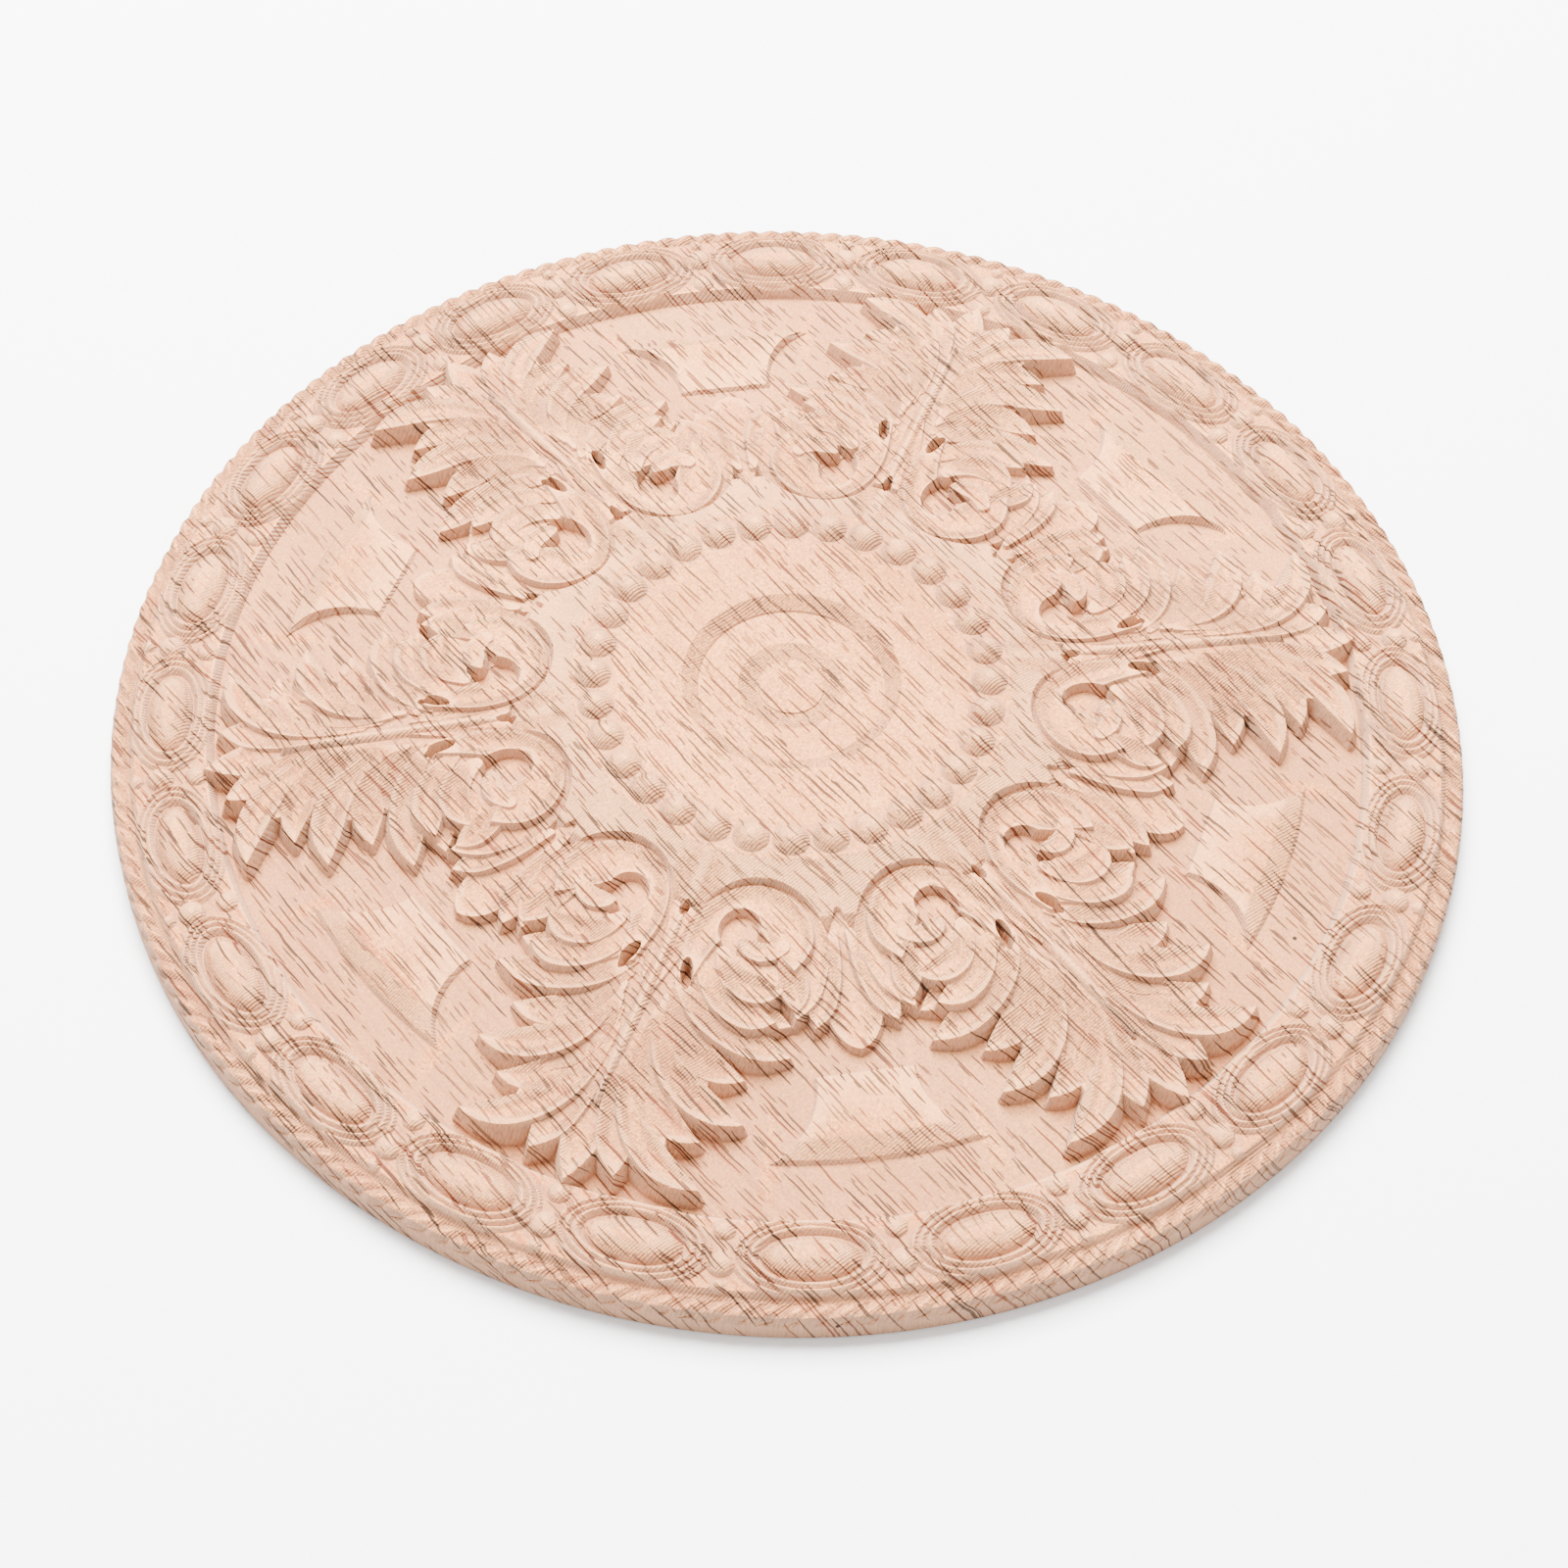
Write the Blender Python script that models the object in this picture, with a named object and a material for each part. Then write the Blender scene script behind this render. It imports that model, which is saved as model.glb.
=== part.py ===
"""Carved wooden rosette: one solid disc with a carved border, six acanthus sprays and a beaded centre.

The disc lies on its flat back. The origin is the middle of the back, +Z points out of the carving,
and +Y runs along the grain and along the middle of the first spray.
"""
import math
from typing import NamedTuple

import bmesh
import bpy
import numpy as np
from mathutils import Vector
from mathutils.geometry import delaunay_2d_cdt

# All sizes below are millimetres and are turned into metres where the mesh is made
MM = 0.001

# Driving dimensions
DIAMETER = 300.0
RIM_TOP = 7.8
SPRAYS = 6
OVALS = 24
BEADS = 32

RADIUS = DIAMETER / 2
SECTOR = 2 * math.pi / SPRAYS
HALF = SECTOR / 2
MIDDLE = (math.sin(HALF), math.cos(HALF))

# Border: a rounded edge, a groove and a ledge that carries the ovals
EDGE_WIDTH = 3.8
EDGE_DROP = 1.2
GROOVE_RADIUS = RADIUS - EDGE_WIDTH
GROOVE_WIDTH = 1.6
GROOVE_Z = RIM_TOP - 1.4
LEDGE_Z = 9.0
LEDGE_RADIUS = 127.3
LEDGE_WALL = 0.8
LEDGE_STEP = 2.8
LEAF_OVERHANG = 3.0

# Ovals: a dome inside a raised ring, with a small bead between neighbours
OVAL_RADIUS = 137.2
OVAL_HALF_LENGTH = 10.2
OVAL_HALF_WIDTH = 4.9
OVAL_DOME = 3.0
OVAL_RING = 1.9
OVAL_RING_OUT = (2.6, 2.0)
OVAL_FOOT_OUT = (5.0, 3.7)
GAP_BEAD_RADIUS = 139.4
GAP_BEAD = 2.2

# Recessed field: it rises towards the middle of the disc
FIELD_Z = 6.2
FIELD_RISE = 0.095
PANEL_OUTER = 115.3
PANEL_INNER = 97.0
PANEL_HEIGHT = 2.4
PANEL_SIDE_RADIUS = 24.5
PANEL_SIDE_CENTRE = (40.2, 101.5)
PANEL_CORNER = 112.8
PANEL_BEVEL = 1.1
PANEL_SIDE_POINTS = 4
PAST_MIDDLE = 2.0

# Beaded ring and the turned middle
BEAD_RING_RADIUS = 43.5
BEAD_RADIUS = 4.15
BEAD_RING_HALF = 4.6
BEAD_FLOOR = 20.2
BEAD_SUNK = 0.9
RING_INNER = BEAD_RING_RADIUS - BEAD_RING_HALF
RING_OUTER = BEAD_RING_RADIUS + BEAD_RING_HALF
DISH = ((0.0, 16.7), (7.6, 16.7), (12.6, 17.4), (20.7, 17.4), (24.3, 19.4), (RING_INNER, BEAD_FLOOR))
SKIRT_FALL = 0.24
SKIRT_END = 61.0
SKIRT_WALL = 1.2

# Leaves: their edges stand on steep walls, and their tops are hollowed
WALL = 4.0
HOLLOW_FADE = 0.6

# Eye of a scroll, round at its foot and hooked at its top; slot beside a stem; notch at a stem's foot
EYE_SPINE = ((14.2, 64.4), (8.4, 67.0), (14.0, 71.8))
EYE_RADIUS = 3.9
EYE_CLOSING = 0.85
EYE_FLOOR = 10.5
EYE_FLOOR_INSET = 1.7
SLOT_CENTRE = (6.4, 79.1)
SLOT_HALF = (1.1, 3.5)
SLOT_TURN = math.radians(16)
SLOT_FLOOR = 11.0
SLOT_WALL = 8.0
NOTCH_CENTRE = (0.0, 63.3)
NOTCH_HALF = (0.9, 2.0)
NOTCH_FLOOR = 13.0

# Mesh steps: sides of the round parts, and points along curves
RIM_STEPS = 96
OVAL_SIDES = 8
OVAL_TOP = 0.62
BEAD_SIDES = 6
EYE_SIDES = 3
SETTLE_STEPS = 6
SLOT_SIDES = 6
BEAD_STEPS = (0.97, 0.62)
DISH_SIDES = ((RING_INNER, 48), (24.3, 48), (20.7, 48), (12.6, 24), (7.6, 24))
SPINE_POINTS = 16
AHEAD = 0.02
OUTLINE_STEPS = 18
LINE_TOLERANCE = 0.5
SHOWN_WITHIN = 0.3
WALL_LOOK = 1.8
SMALL_DROP = 1.2
SHORT_RUN = 3.0
MERGE = 0.3
JOIN = 0.004


class Lobe(NamedTuple):
    """One leaf lobe, from its root to its tip, in its spray's frame (x aside, y outwards)."""

    spine: tuple
    half: float
    root_z: float
    tip_z: float
    hollow: float = 1.2
    widest: float = 0.66
    root_half: float = 0.8
    wall: float = WALL
    fall: float = 1.3


def along_middle(distance):
    """Returns the point at a distance from the centre on the line between two sprays."""
    return (distance * MIDDLE[0], distance * MIDDLE[1])


def frond(index):
    """Returns the three lobes of the second (0) or third (1) frond, the same leaf set lower each time."""
    aside = 3.7 * index
    lower = 15.8 * index
    root = 6.0 * index
    up = 1.1 * index
    first = Lobe(((4.4, 88 - root), (5.6 + aside, 103.5 - lower), (14.6 + aside, 107.2 - lower)),
                 2.9, 17.0, 12.2 + up, 0.9, 0.6)
    main = Lobe(((4.8, 85 - root), (8.5 + aside, 106 - lower), (30.2 + aside, 104.2 - lower)),
                3.5, 17.2, 11.2 + up, 1.3, 0.68)
    last = Lobe(((5.5, 81 - root), (9.5 + aside, 98 - lower), (27.4 + aside, 96.4 - lower)),
                3.5, 17.6, 11.6 + up, 1.3)
    return [first, main, last]


def spray_lobes():
    """Returns the lobes of half a spray in carving order: each one lies over those before it."""
    tip = Lobe(((0.0, 97.0), (0.0, 129.2)), 4.3, 15.0, 11.1, 0.8, 0.62)
    side_tip = Lobe(((1.6, 100), (4.5, 113), (9.3, 125.2)), 3.9, 15.2, 11.7, 1.0)
    outer_main = Lobe(((2.6, 94), (5.0, 121), (26.6, 122)), 3.3, 16.0, 11.0, 1.2, 0.7)
    outer_last = Lobe(((3.4, 90), (6.5, 112.5), (23.3, 112.7)), 3.5, 16.4, 10.4, 1.3)
    palm_leaf = Lobe((along_middle(60), along_middle(92.5)), 5.6, 16.0, 13.6, 0.9, 0.72)
    palm_side = Lobe(((31, 57), (33.6, 67), (35.3, 74.5), (36.1, 80.5)), 3.0, 16.6, 13.6, 0.9, 0.7)
    band = Lobe(((1.3, 104), (2.7, 84), (2.9, 72), (4.8, 62.5), (9, 55.8), (15.8, 53.2), (23, 55.2),
                 (28.4, 61), (30.6, 69), (30.6, 79.6)), 3.0, 17.4, 14.2, 0.8, 0.88, 0.7, WALL, 3.0)
    scroll = Lobe(((6.6, 78), (6.1, 68), (8.2, 60.6), (14.5, 57.4), (21, 59.5), (24.4, 65.5), (24.6, 71)),
                  4.0, 18.2, 17.2, 0.8, 0.7, 1.8)
    scroll_lobe = Lobe(((10, 75), (22, 83.5), (26.6, 69.8)), 3.6, 17.8, 15.8, 1.0, 0.6, 1.5)
    curl_lobe = Lobe(((10.6, 70.5), (18.5, 78.5), (21.6, 66.0)), 3.2, 18.2, 17.2, 0.8, 0.55, 1.2)
    rib = Lobe(((0, 66), (0, 111.8)), 2.2, 17.6, 15.0, -1.2, 0.12, 1.8, 1.6, 1.0)
    return ([tip, side_tip, outer_main, outer_last] + frond(0) + frond(1)
            + [palm_leaf, palm_side, band, scroll, scroll_lobe, curl_lobe, rib])


def smooth_curve(points, count):
    """Returns about count points on a line, a three-point Bezier curve or a curve through all the points."""
    p = np.array(points, float)
    t = np.linspace(0, 1, count)[:, None]
    if len(p) == 2:
        return p[0] + (p[1] - p[0]) * t
    if len(p) == 3:
        return (1 - t) ** 2 * p[0] + 2 * t * (1 - t) * p[1] + t ** 2 * p[2]
    padded = np.vstack([2 * p[0] - p[1], p, 2 * p[-1] - p[-2]])
    share = np.linspace(0, 1, max(2, count // (len(p) - 1)), endpoint=False)[:, None]
    parts = []
    for a, b, c, d in zip(padded, padded[1:], padded[2:], padded[3:]):
        parts.append(b + 0.5 * share * (c - a + share * (2 * a - 5 * b + 4 * c - d
                                                         + share * (3 * b - a - 3 * c + d))))
    return np.vstack(parts + [p[-1:]])


def spine_of(lobe):
    """Returns the lobe's spine as a fine polyline."""
    return smooth_curve(lobe.spine, max(SPINE_POINTS, 4 * len(lobe.spine)))


def nearest_on(spine, x, y):
    """Returns, for each point, its place along the spine (0 to 1) and its distance from it."""
    start = spine[:-1]
    step = spine[1:] - start
    length = np.linalg.norm(step, axis=1)
    run = np.concatenate([[0.0], np.cumsum(length)])
    unit = step / length[:, None]
    px = x[:, None] - start[:, 0]
    py = y[:, None] - start[:, 1]
    along = np.clip(px * unit[:, 0] + py * unit[:, 1], 0, length)
    gap = np.hypot(px - along * unit[:, 0], py - along * unit[:, 1])
    best = gap.argmin(axis=1)
    row = np.arange(len(x))
    return (run[best] + along[row, best]) / run[-1], gap[row, best]


def half_width(lobe, t):
    """Returns half the lobe's width at t: it swells from the root and closes in a pointed arch."""
    rise = np.sin(np.clip(t / lobe.widest, 0, 1) * math.pi / 2)
    swell = lobe.root_half + (lobe.half - lobe.root_half) * rise
    arch = lobe.half * (1 - np.clip((t - lobe.widest) / (1 - lobe.widest), 0, 1) ** 2)
    return np.where(t < lobe.widest, swell, arch)


def carve_lobe(z, lobe, x, y):
    """Lays the lobe over the surface: its hollowed top inside its outline and a steep wall round it."""
    t, gap = nearest_on(spine_of(lobe), x, y)
    half = half_width(lobe, t)
    outside = gap - half
    edge = lobe.root_z + (lobe.tip_z - lobe.root_z) * t ** lobe.fall
    across = np.clip(gap / np.maximum(half, 0.001), 0, 1)
    hollow = lobe.hollow * (1 - across ** 2) * np.sin(np.clip(t, 0.001, 0.999) * math.pi) ** HOLLOW_FADE
    top = np.maximum(edge - hollow, z + lobe.wall * outside)
    return np.where(outside <= 0, top, np.maximum(z, edge - lobe.wall * outside))


def sink(z, distance, floor, wall):
    """Cuts a pocket where distance is negative, down to its floor."""
    return np.minimum(z, np.maximum(floor, z + wall * np.minimum(distance, 0)))


def ellipse_distance(x, y, centre, halves, turn=0.0):
    """Returns about how far each point lies outside a turned ellipse."""
    dx = x - centre[0]
    dy = y - centre[1]
    across = dx * math.cos(turn) - dy * math.sin(turn)
    along = dx * math.sin(turn) + dy * math.cos(turn)
    return (np.hypot(across / halves[0], along / halves[1]) - 1) * min(halves)


def eye_distance(x, y):
    """Returns how far each point lies outside the eye: a round foot that closes to a hooked point."""
    t, gap = nearest_on(smooth_curve(EYE_SPINE, SPINE_POINTS), x, y)
    return gap - EYE_RADIUS * (1 - t) ** EYE_CLOSING


def cut_pockets(z, x, y):
    """Cuts the hooked eye of the scroll, the slot beside the stem and the notch at its foot."""
    z = sink(z, eye_distance(x, y), EYE_FLOOR, WALL)
    z = sink(z, ellipse_distance(x, y, SLOT_CENTRE, SLOT_HALF, SLOT_TURN), SLOT_FLOOR, SLOT_WALL)
    return sink(z, ellipse_distance(x, y, NOTCH_CENTRE, NOTCH_HALF), NOTCH_FLOOR, WALL)


def panel_distance(x, y):
    """Returns how far each point lies outside the raised panel between two sprays."""
    outwards = x * MIDDLE[0] + y * MIDDLE[1]
    aside = np.abs(x * MIDDLE[1] - y * MIDDLE[0])
    side = PANEL_SIDE_RADIUS - np.hypot(aside - PANEL_SIDE_CENTRE[0], outwards - PANEL_SIDE_CENTRE[1])
    return np.maximum.reduce([np.hypot(x, y) - PANEL_OUTER, PANEL_INNER - outwards, side])


def field_height(x, y):
    """Returns the ground of the carving: the domed field, the skirt round the beads and the panels."""
    r = np.hypot(x, y)
    field = FIELD_Z + FIELD_RISE * np.clip(LEDGE_RADIUS - r, 0, None)
    skirt = (BEAD_FLOOR - SKIRT_FALL * (np.minimum(r, SKIRT_END) - RING_OUTER)
             - SKIRT_WALL * np.clip(r - SKIRT_END, 0, None))
    raised = field + PANEL_HEIGHT * np.clip(1 - panel_distance(x, y) / PANEL_BEVEL, 0, 1)
    return np.maximum.reduce([field, skirt, raised])


def border_height(x, y):
    """Returns the ledge with its ovals and gap beads, and the rounded edge outside it."""
    r = np.hypot(x, y)
    pitch = 2 * math.pi / OVALS
    angle = np.arctan2(x, y)
    aside = ((angle % pitch) - pitch / 2) * OVAL_RADIUS
    out = r - OVAL_RADIUS
    dome, crest, foot = (np.hypot(aside / (OVAL_HALF_LENGTH + more[0]), out / (OVAL_HALF_WIDTH + more[1]))
                         for more in ((0, 0), OVAL_RING_OUT, OVAL_FOOT_OUT))
    ring = np.clip(np.where(crest < 1, (dome - 1) / (dome - crest), (1 - foot) / (crest - foot)), 0, 1)
    raised = OVAL_DOME * np.sqrt(np.clip(1 - dome ** 2, 0, 1)) + OVAL_RING * ring * (dome > 1)
    gap_aside = (((angle + pitch / 2) % pitch) - pitch / 2) * GAP_BEAD_RADIUS
    gap = np.hypot(gap_aside, r - GAP_BEAD_RADIUS) / GAP_BEAD
    ledge = LEDGE_Z + np.maximum(raised, GAP_BEAD * np.sqrt(np.clip(1 - gap ** 2, 0, 1)))
    ledge = ledge + (GROOVE_Z - LEDGE_Z) * np.clip((r - GROOVE_RADIUS + GROOVE_WIDTH) / GROOVE_WIDTH, 0, 1)
    roll = np.clip((r - GROOVE_RADIUS) / EDGE_WIDTH, 0, 1)
    rim = GROOVE_Z + (RIM_TOP - GROOVE_Z) * np.sin(np.clip(2 * roll, 0, 1) * math.pi / 2)
    rim = rim - EDGE_DROP * np.clip(2 * roll - 1, 0, 1) ** 2
    return np.where(r > GROOVE_RADIUS, rim, ledge)


def spray_height(x, y):
    """Returns the height of the carved field and border in the frame of half a spray."""
    z = field_height(x, y)
    for lobe in spray_lobes():
        z = carve_lobe(z, lobe, x, y)
    z = cut_pockets(z, x, y)
    inside = LEDGE_RADIUS + LEDGE_WALL - np.hypot(x, y)
    over_ledge = np.where(inside > -LEAF_OVERHANG, z, 0)
    step = border_height(x, y) - LEDGE_STEP / LEDGE_WALL * np.clip(inside, 0, None)
    return np.where(inside > LEDGE_WALL, z, np.maximum(over_ledge, step))


def middle_height(x, y):
    """Returns the height of the turned middle and its ring of beads."""
    r = np.hypot(x, y)
    radii, heights = zip(*DISH)
    turned = np.interp(r, radii, heights)
    pitch = 2 * math.pi / BEADS
    turn = np.arctan2(x, y) % pitch - pitch / 2
    away = np.hypot(turn * BEAD_RING_RADIUS, r - BEAD_RING_RADIUS)
    bead = BEAD_FLOOR - BEAD_SUNK + np.sqrt(np.clip(BEAD_RADIUS ** 2 - away ** 2, 0, None))
    return np.where(away < BEAD_RADIUS, np.maximum(turned, bead), turned)


def lobe_outline(lobe, steps):
    """Returns the outline from the root round the tip and back: points, outward directions and places."""
    spine = spine_of(lobe)
    share = np.linspace(0, 1, len(spine))
    t = np.linspace(0, 1, steps + 1)[:-1]
    at = np.stack([np.interp(t, share, spine[:, axis]) for axis in (0, 1)], axis=1)
    ahead = np.stack([np.interp(t + AHEAD, share, spine[:, axis]) for axis in (0, 1)], axis=1) - at
    ahead /= np.linalg.norm(ahead, axis=1)[:, None]
    side = np.stack([ahead[:, 1], -ahead[:, 0]], axis=1)
    half = half_width(lobe, t)[:, None]
    end = (spine[-1] - spine[-2]) / np.linalg.norm(spine[-1] - spine[-2])
    points = np.vstack([at + side * half, spine[-1:], (at - side * half)[::-1]])
    outwards = np.vstack([side, end[None], -side[::-1]])
    return points, outwards, np.concatenate([t, [1.0], t[::-1]])


def thin_line(points, tolerance):
    """Keeps only the points that the line's shape needs within a tolerance."""
    if len(points) < 3:
        return points
    chord = points[-1] - points[0]
    from_first = points - points[0]
    away = np.abs(chord[0] * from_first[:, 1] - chord[1] * from_first[:, 0])
    away = away / max(np.linalg.norm(chord), 0.001)
    far = away.argmax()
    if away[far] < tolerance:
        return points[[0, -1]]
    return np.vstack([thin_line(points[:far + 1], tolerance)[:-1], thin_line(points[far:], tolerance)])


def shown_runs(points, shown):
    """Splits a line into the stretches that show, each thinned to its shape."""
    runs = []
    ends = np.flatnonzero(np.diff(np.concatenate([[0], shown.astype(int), [0]])))
    for first, last in zip(ends[::2], ends[1::2]):
        line = points[first:last]
        if np.linalg.norm(np.diff(line, axis=0), axis=1).sum() > SHORT_RUN:
            runs.append([tuple(p) for p in thin_line(line, LINE_TOLERANCE)])
    return runs


def lobe_lines(lobe):
    """Returns the lines of one lobe: its edge and its wall's foot where they show, and its hollow."""
    points, outwards, t = lobe_outline(lobe, OUTLINE_STEPS)
    edge = lobe.root_z + (lobe.tip_z - lobe.root_z) * t ** lobe.fall
    shown = np.abs(spray_height(points[:, 0], points[:, 1]) - edge) < SHOWN_WITHIN
    lines = shown_runs(points, shown)
    beside = points + outwards * WALL_LOOK
    drop = edge - spray_height(beside[:, 0], beside[:, 1])
    foot = points + outwards * (drop / lobe.wall)[:, None]
    lines += shown_runs(foot, shown & (drop > SMALL_DROP))
    hollow = spine_of(lobe)[-SPINE_POINTS // 3][None]
    low = spray_height(hollow[:, 0], hollow[:, 1]) < lobe.root_z
    return lines + [[tuple(p)] for p in hollow[low]]


def circle_points(centre, radius, count, start=0.0):
    """Returns a closed circle as a polyline, from a start angle that is measured from +Y."""
    turns = [start + 2 * math.pi * k / count for k in range(count + 1)]
    return [(centre[0] + radius * math.sin(a), centre[1] + radius * math.cos(a)) for a in turns]


def oval_points(number, halves, count):
    """Returns a closed oval on the border: number 0 or 1 counts from the spray's axis."""
    pitch = 2 * math.pi / OVALS
    points = []
    for k in range(count + 1):
        a = 2 * math.pi * k / count
        angle = (number + 0.5) * pitch + halves[0] * math.sin(a) / OVAL_RADIUS
        radius = OVAL_RADIUS + halves[1] * math.cos(a)
        points.append((radius * math.sin(angle), radius * math.cos(angle)))
    return points


def oval_lines():
    """Returns the lines of the two ovals and the gap beads of half a sector."""
    lines = []
    for number in (0, 1):
        for out in ((0, 0), OVAL_RING_OUT, OVAL_FOOT_OUT):
            halves = (OVAL_HALF_LENGTH + out[0], OVAL_HALF_WIDTH + out[1])
            lines.append(oval_points(number, halves, OVAL_SIDES))
        lines.append(oval_points(number, (OVAL_HALF_LENGTH * OVAL_TOP, OVAL_HALF_WIDTH * OVAL_TOP), 4))
        lines.append([oval_points(number, (0, 0), 1)[0]])
    for number in (0, 1, 2):
        angle = number * 2 * math.pi / OVALS
        centre = (GAP_BEAD_RADIUS * math.sin(angle), GAP_BEAD_RADIUS * math.cos(angle))
        lines.append(circle_points(centre, GAP_BEAD, 4))
        lines.append([centre])
    return lines


def panel_lines():
    """Returns the top and foot of the half panel that lies in half a sector."""
    lines = []
    for out in (0.0, PANEL_BEVEL):
        outer = PANEL_OUTER + out
        radius = PANEL_SIDE_RADIUS - out
        side = []
        for outwards in np.linspace(PANEL_CORNER + out, PANEL_INNER - out, PANEL_SIDE_POINTS):
            aside = PANEL_SIDE_CENTRE[0] - math.sqrt(radius ** 2 - (outwards - PANEL_SIDE_CENTRE[1]) ** 2)
            side.append((outwards, aside))
        widest = math.atan2(side[0][1], side[0][0])
        arc = [(outer * math.cos(widest * share), outer * math.sin(widest * share)) for share in (0, 0.5)]
        points = [(outer, -PAST_MIDDLE)] + arc + side + [(PANEL_INNER - out, -PAST_MIDDLE)]
        lines.append([(u * MIDDLE[0] - v * MIDDLE[1], u * MIDDLE[1] + v * MIDDLE[0]) for u, v in points])
    return lines


def eye_points(inset, count):
    """Returns the closed outline of the hooked eye, or of its floor at an inset from it.

    The points start on the spine and on the foot's centre, and each one moves outwards to the outline.
    """
    spine = smooth_curve(EYE_SPINE, SPINE_POINTS)
    share = np.linspace(0, 1, len(spine))
    along = np.gradient(spine, axis=0)
    along /= np.linalg.norm(along, axis=1)[:, None]
    t = np.linspace(0, 1 - (inset / EYE_RADIUS) ** (1 / EYE_CLOSING), count + 1)
    at = np.stack([np.interp(t, share, spine[:, axis]) for axis in (0, 1)], axis=1)
    side = np.stack([np.interp(t, share, along[:, 1]), -np.interp(t, share, along[:, 0])], axis=1)
    turns = math.atan2(*side[0]) + np.linspace(math.pi, 0, count + 2)[1:-1]
    foot = np.stack([np.sin(turns), np.cos(turns)], axis=1)
    outwards = np.vstack([side, -side[-2::-1], foot])
    points = np.vstack([at, at[-2::-1], np.repeat(at[:1], len(foot), axis=0)])
    for _ in range(SETTLE_STEPS):
        points = points - outwards * (eye_distance(points[:, 0], points[:, 1]) + inset)[:, None]
    return [tuple(point) for point in np.vstack([points, points[:1]])]


def slot_points(count):
    """Returns the closed outline of the turned slot beside the stem."""
    points = []
    for k in range(count + 1):
        a = 2 * math.pi * k / count
        across = SLOT_HALF[0] * math.sin(a)
        along = SLOT_HALF[1] * math.cos(a)
        points.append((SLOT_CENTRE[0] + across * math.cos(SLOT_TURN) + along * math.sin(SLOT_TURN),
                       SLOT_CENTRE[1] - across * math.sin(SLOT_TURN) + along * math.cos(SLOT_TURN)))
    return points


def leaf_lines():
    """Returns the outlines and feet of the lobes and the rims and floors of the pockets."""
    lines = []
    for lobe in spray_lobes():
        lines += lobe_lines(lobe)
    lines.append(eye_points(0.0, EYE_SIDES))
    lines.append(eye_points(EYE_FLOOR_INSET, EYE_SIDES - 1))
    lines.append(slot_points(SLOT_SIDES))
    lines.append([SLOT_CENTRE])
    return lines


def arc_points(radius, count):
    """Returns the points of an arc across half a sector."""
    angles = [HALF * k / count for k in range(count + 1)]
    return [(radius * math.sin(angle), radius * math.cos(angle)) for angle in angles]


def triangulate_lines(lines):
    """Triangulates the plane through all the lines and returns its vertices and triangles."""
    points = []
    edges = []
    for line in lines:
        edges += [(len(points) + k, len(points) + k + 1) for k in range(len(line) - 1)]
        points += [Vector(p) for p in line]
    found = delaunay_2d_cdt(points, edges, [], 0, MERGE)
    return np.array([tuple(v) for v in found[0]]), np.array([tuple(f) for f in found[2]])


def sector_triangles():
    """Returns the vertices and triangles of half a sector between the bead ring and the rim's groove."""
    steps = RIM_STEPS // (2 * SPRAYS)
    lines = [arc_points(radius, steps) for radius in
             (RING_OUTER, LEDGE_RADIUS, LEDGE_RADIUS + LEDGE_WALL, GROOVE_RADIUS)]
    lines.append([(0.0, RING_OUTER), (0.0, GROOVE_RADIUS)])
    lines.append([along_middle(RING_OUTER), along_middle(GROOVE_RADIUS)])
    vertices, triangles = triangulate_lines(lines + leaf_lines() + panel_lines() + oval_lines())
    centre = vertices[triangles].mean(axis=1)
    radius = np.hypot(centre[:, 0], centre[:, 1])
    angle = np.arctan2(centre[:, 0], centre[:, 1])
    step = HALF / steps
    chord = math.cos(step / 2) / np.cos(angle % step - step / 2)
    keep = (angle > 0) & (angle < HALF) & (radius > RING_OUTER * chord) & (radius < GROOVE_RADIUS * chord)
    return vertices, triangles[keep]


def add_sectors(mesh):
    """Adds the half sector twelve times: turned, and mirrored about each spray's axis."""
    vertices, triangles = sector_triangles()
    z = spray_height(vertices[:, 0], vertices[:, 1])
    used = np.unique(triangles)
    for number in range(SPRAYS):
        cos, sin = math.cos(number * SECTOR), math.sin(number * SECTOR)
        for flip in (1, -1):
            made = {}
            for index in used:
                x, y = flip * vertices[index, 0], vertices[index, 1]
                made[index] = mesh.verts.new(Vector((x * cos + y * sin, y * cos - x * sin, z[index])) * MM)
            for triangle in triangles:
                mesh.faces.new([made[index] for index in triangle[::flip]])


def add_middle(mesh):
    """Adds the turned dish and its ring of beads, with fewer sides towards the centre."""
    lines = [circle_points((0, 0), RING_OUTER, RIM_STEPS), [(0.0, 0.0)]]
    lines += [circle_points((0, 0), radius, sides) for radius, sides in DISH_SIDES]
    for number in range(BEADS):
        angle = (number + 0.5) * 2 * math.pi / BEADS
        centre = (BEAD_RING_RADIUS * math.sin(angle), BEAD_RING_RADIUS * math.cos(angle))
        for share in BEAD_STEPS:
            lines.append(circle_points(centre, BEAD_RADIUS * share, BEAD_SIDES, angle))
        lines.append([centre])
    place, triangles = triangulate_lines(lines)
    heights = middle_height(place[:, 0], place[:, 1])
    made = [mesh.verts.new(Vector((x, y, z)) * MM) for (x, y), z in zip(place, heights)]
    for triangle in triangles:
        mesh.faces.new([made[index] for index in triangle])


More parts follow.
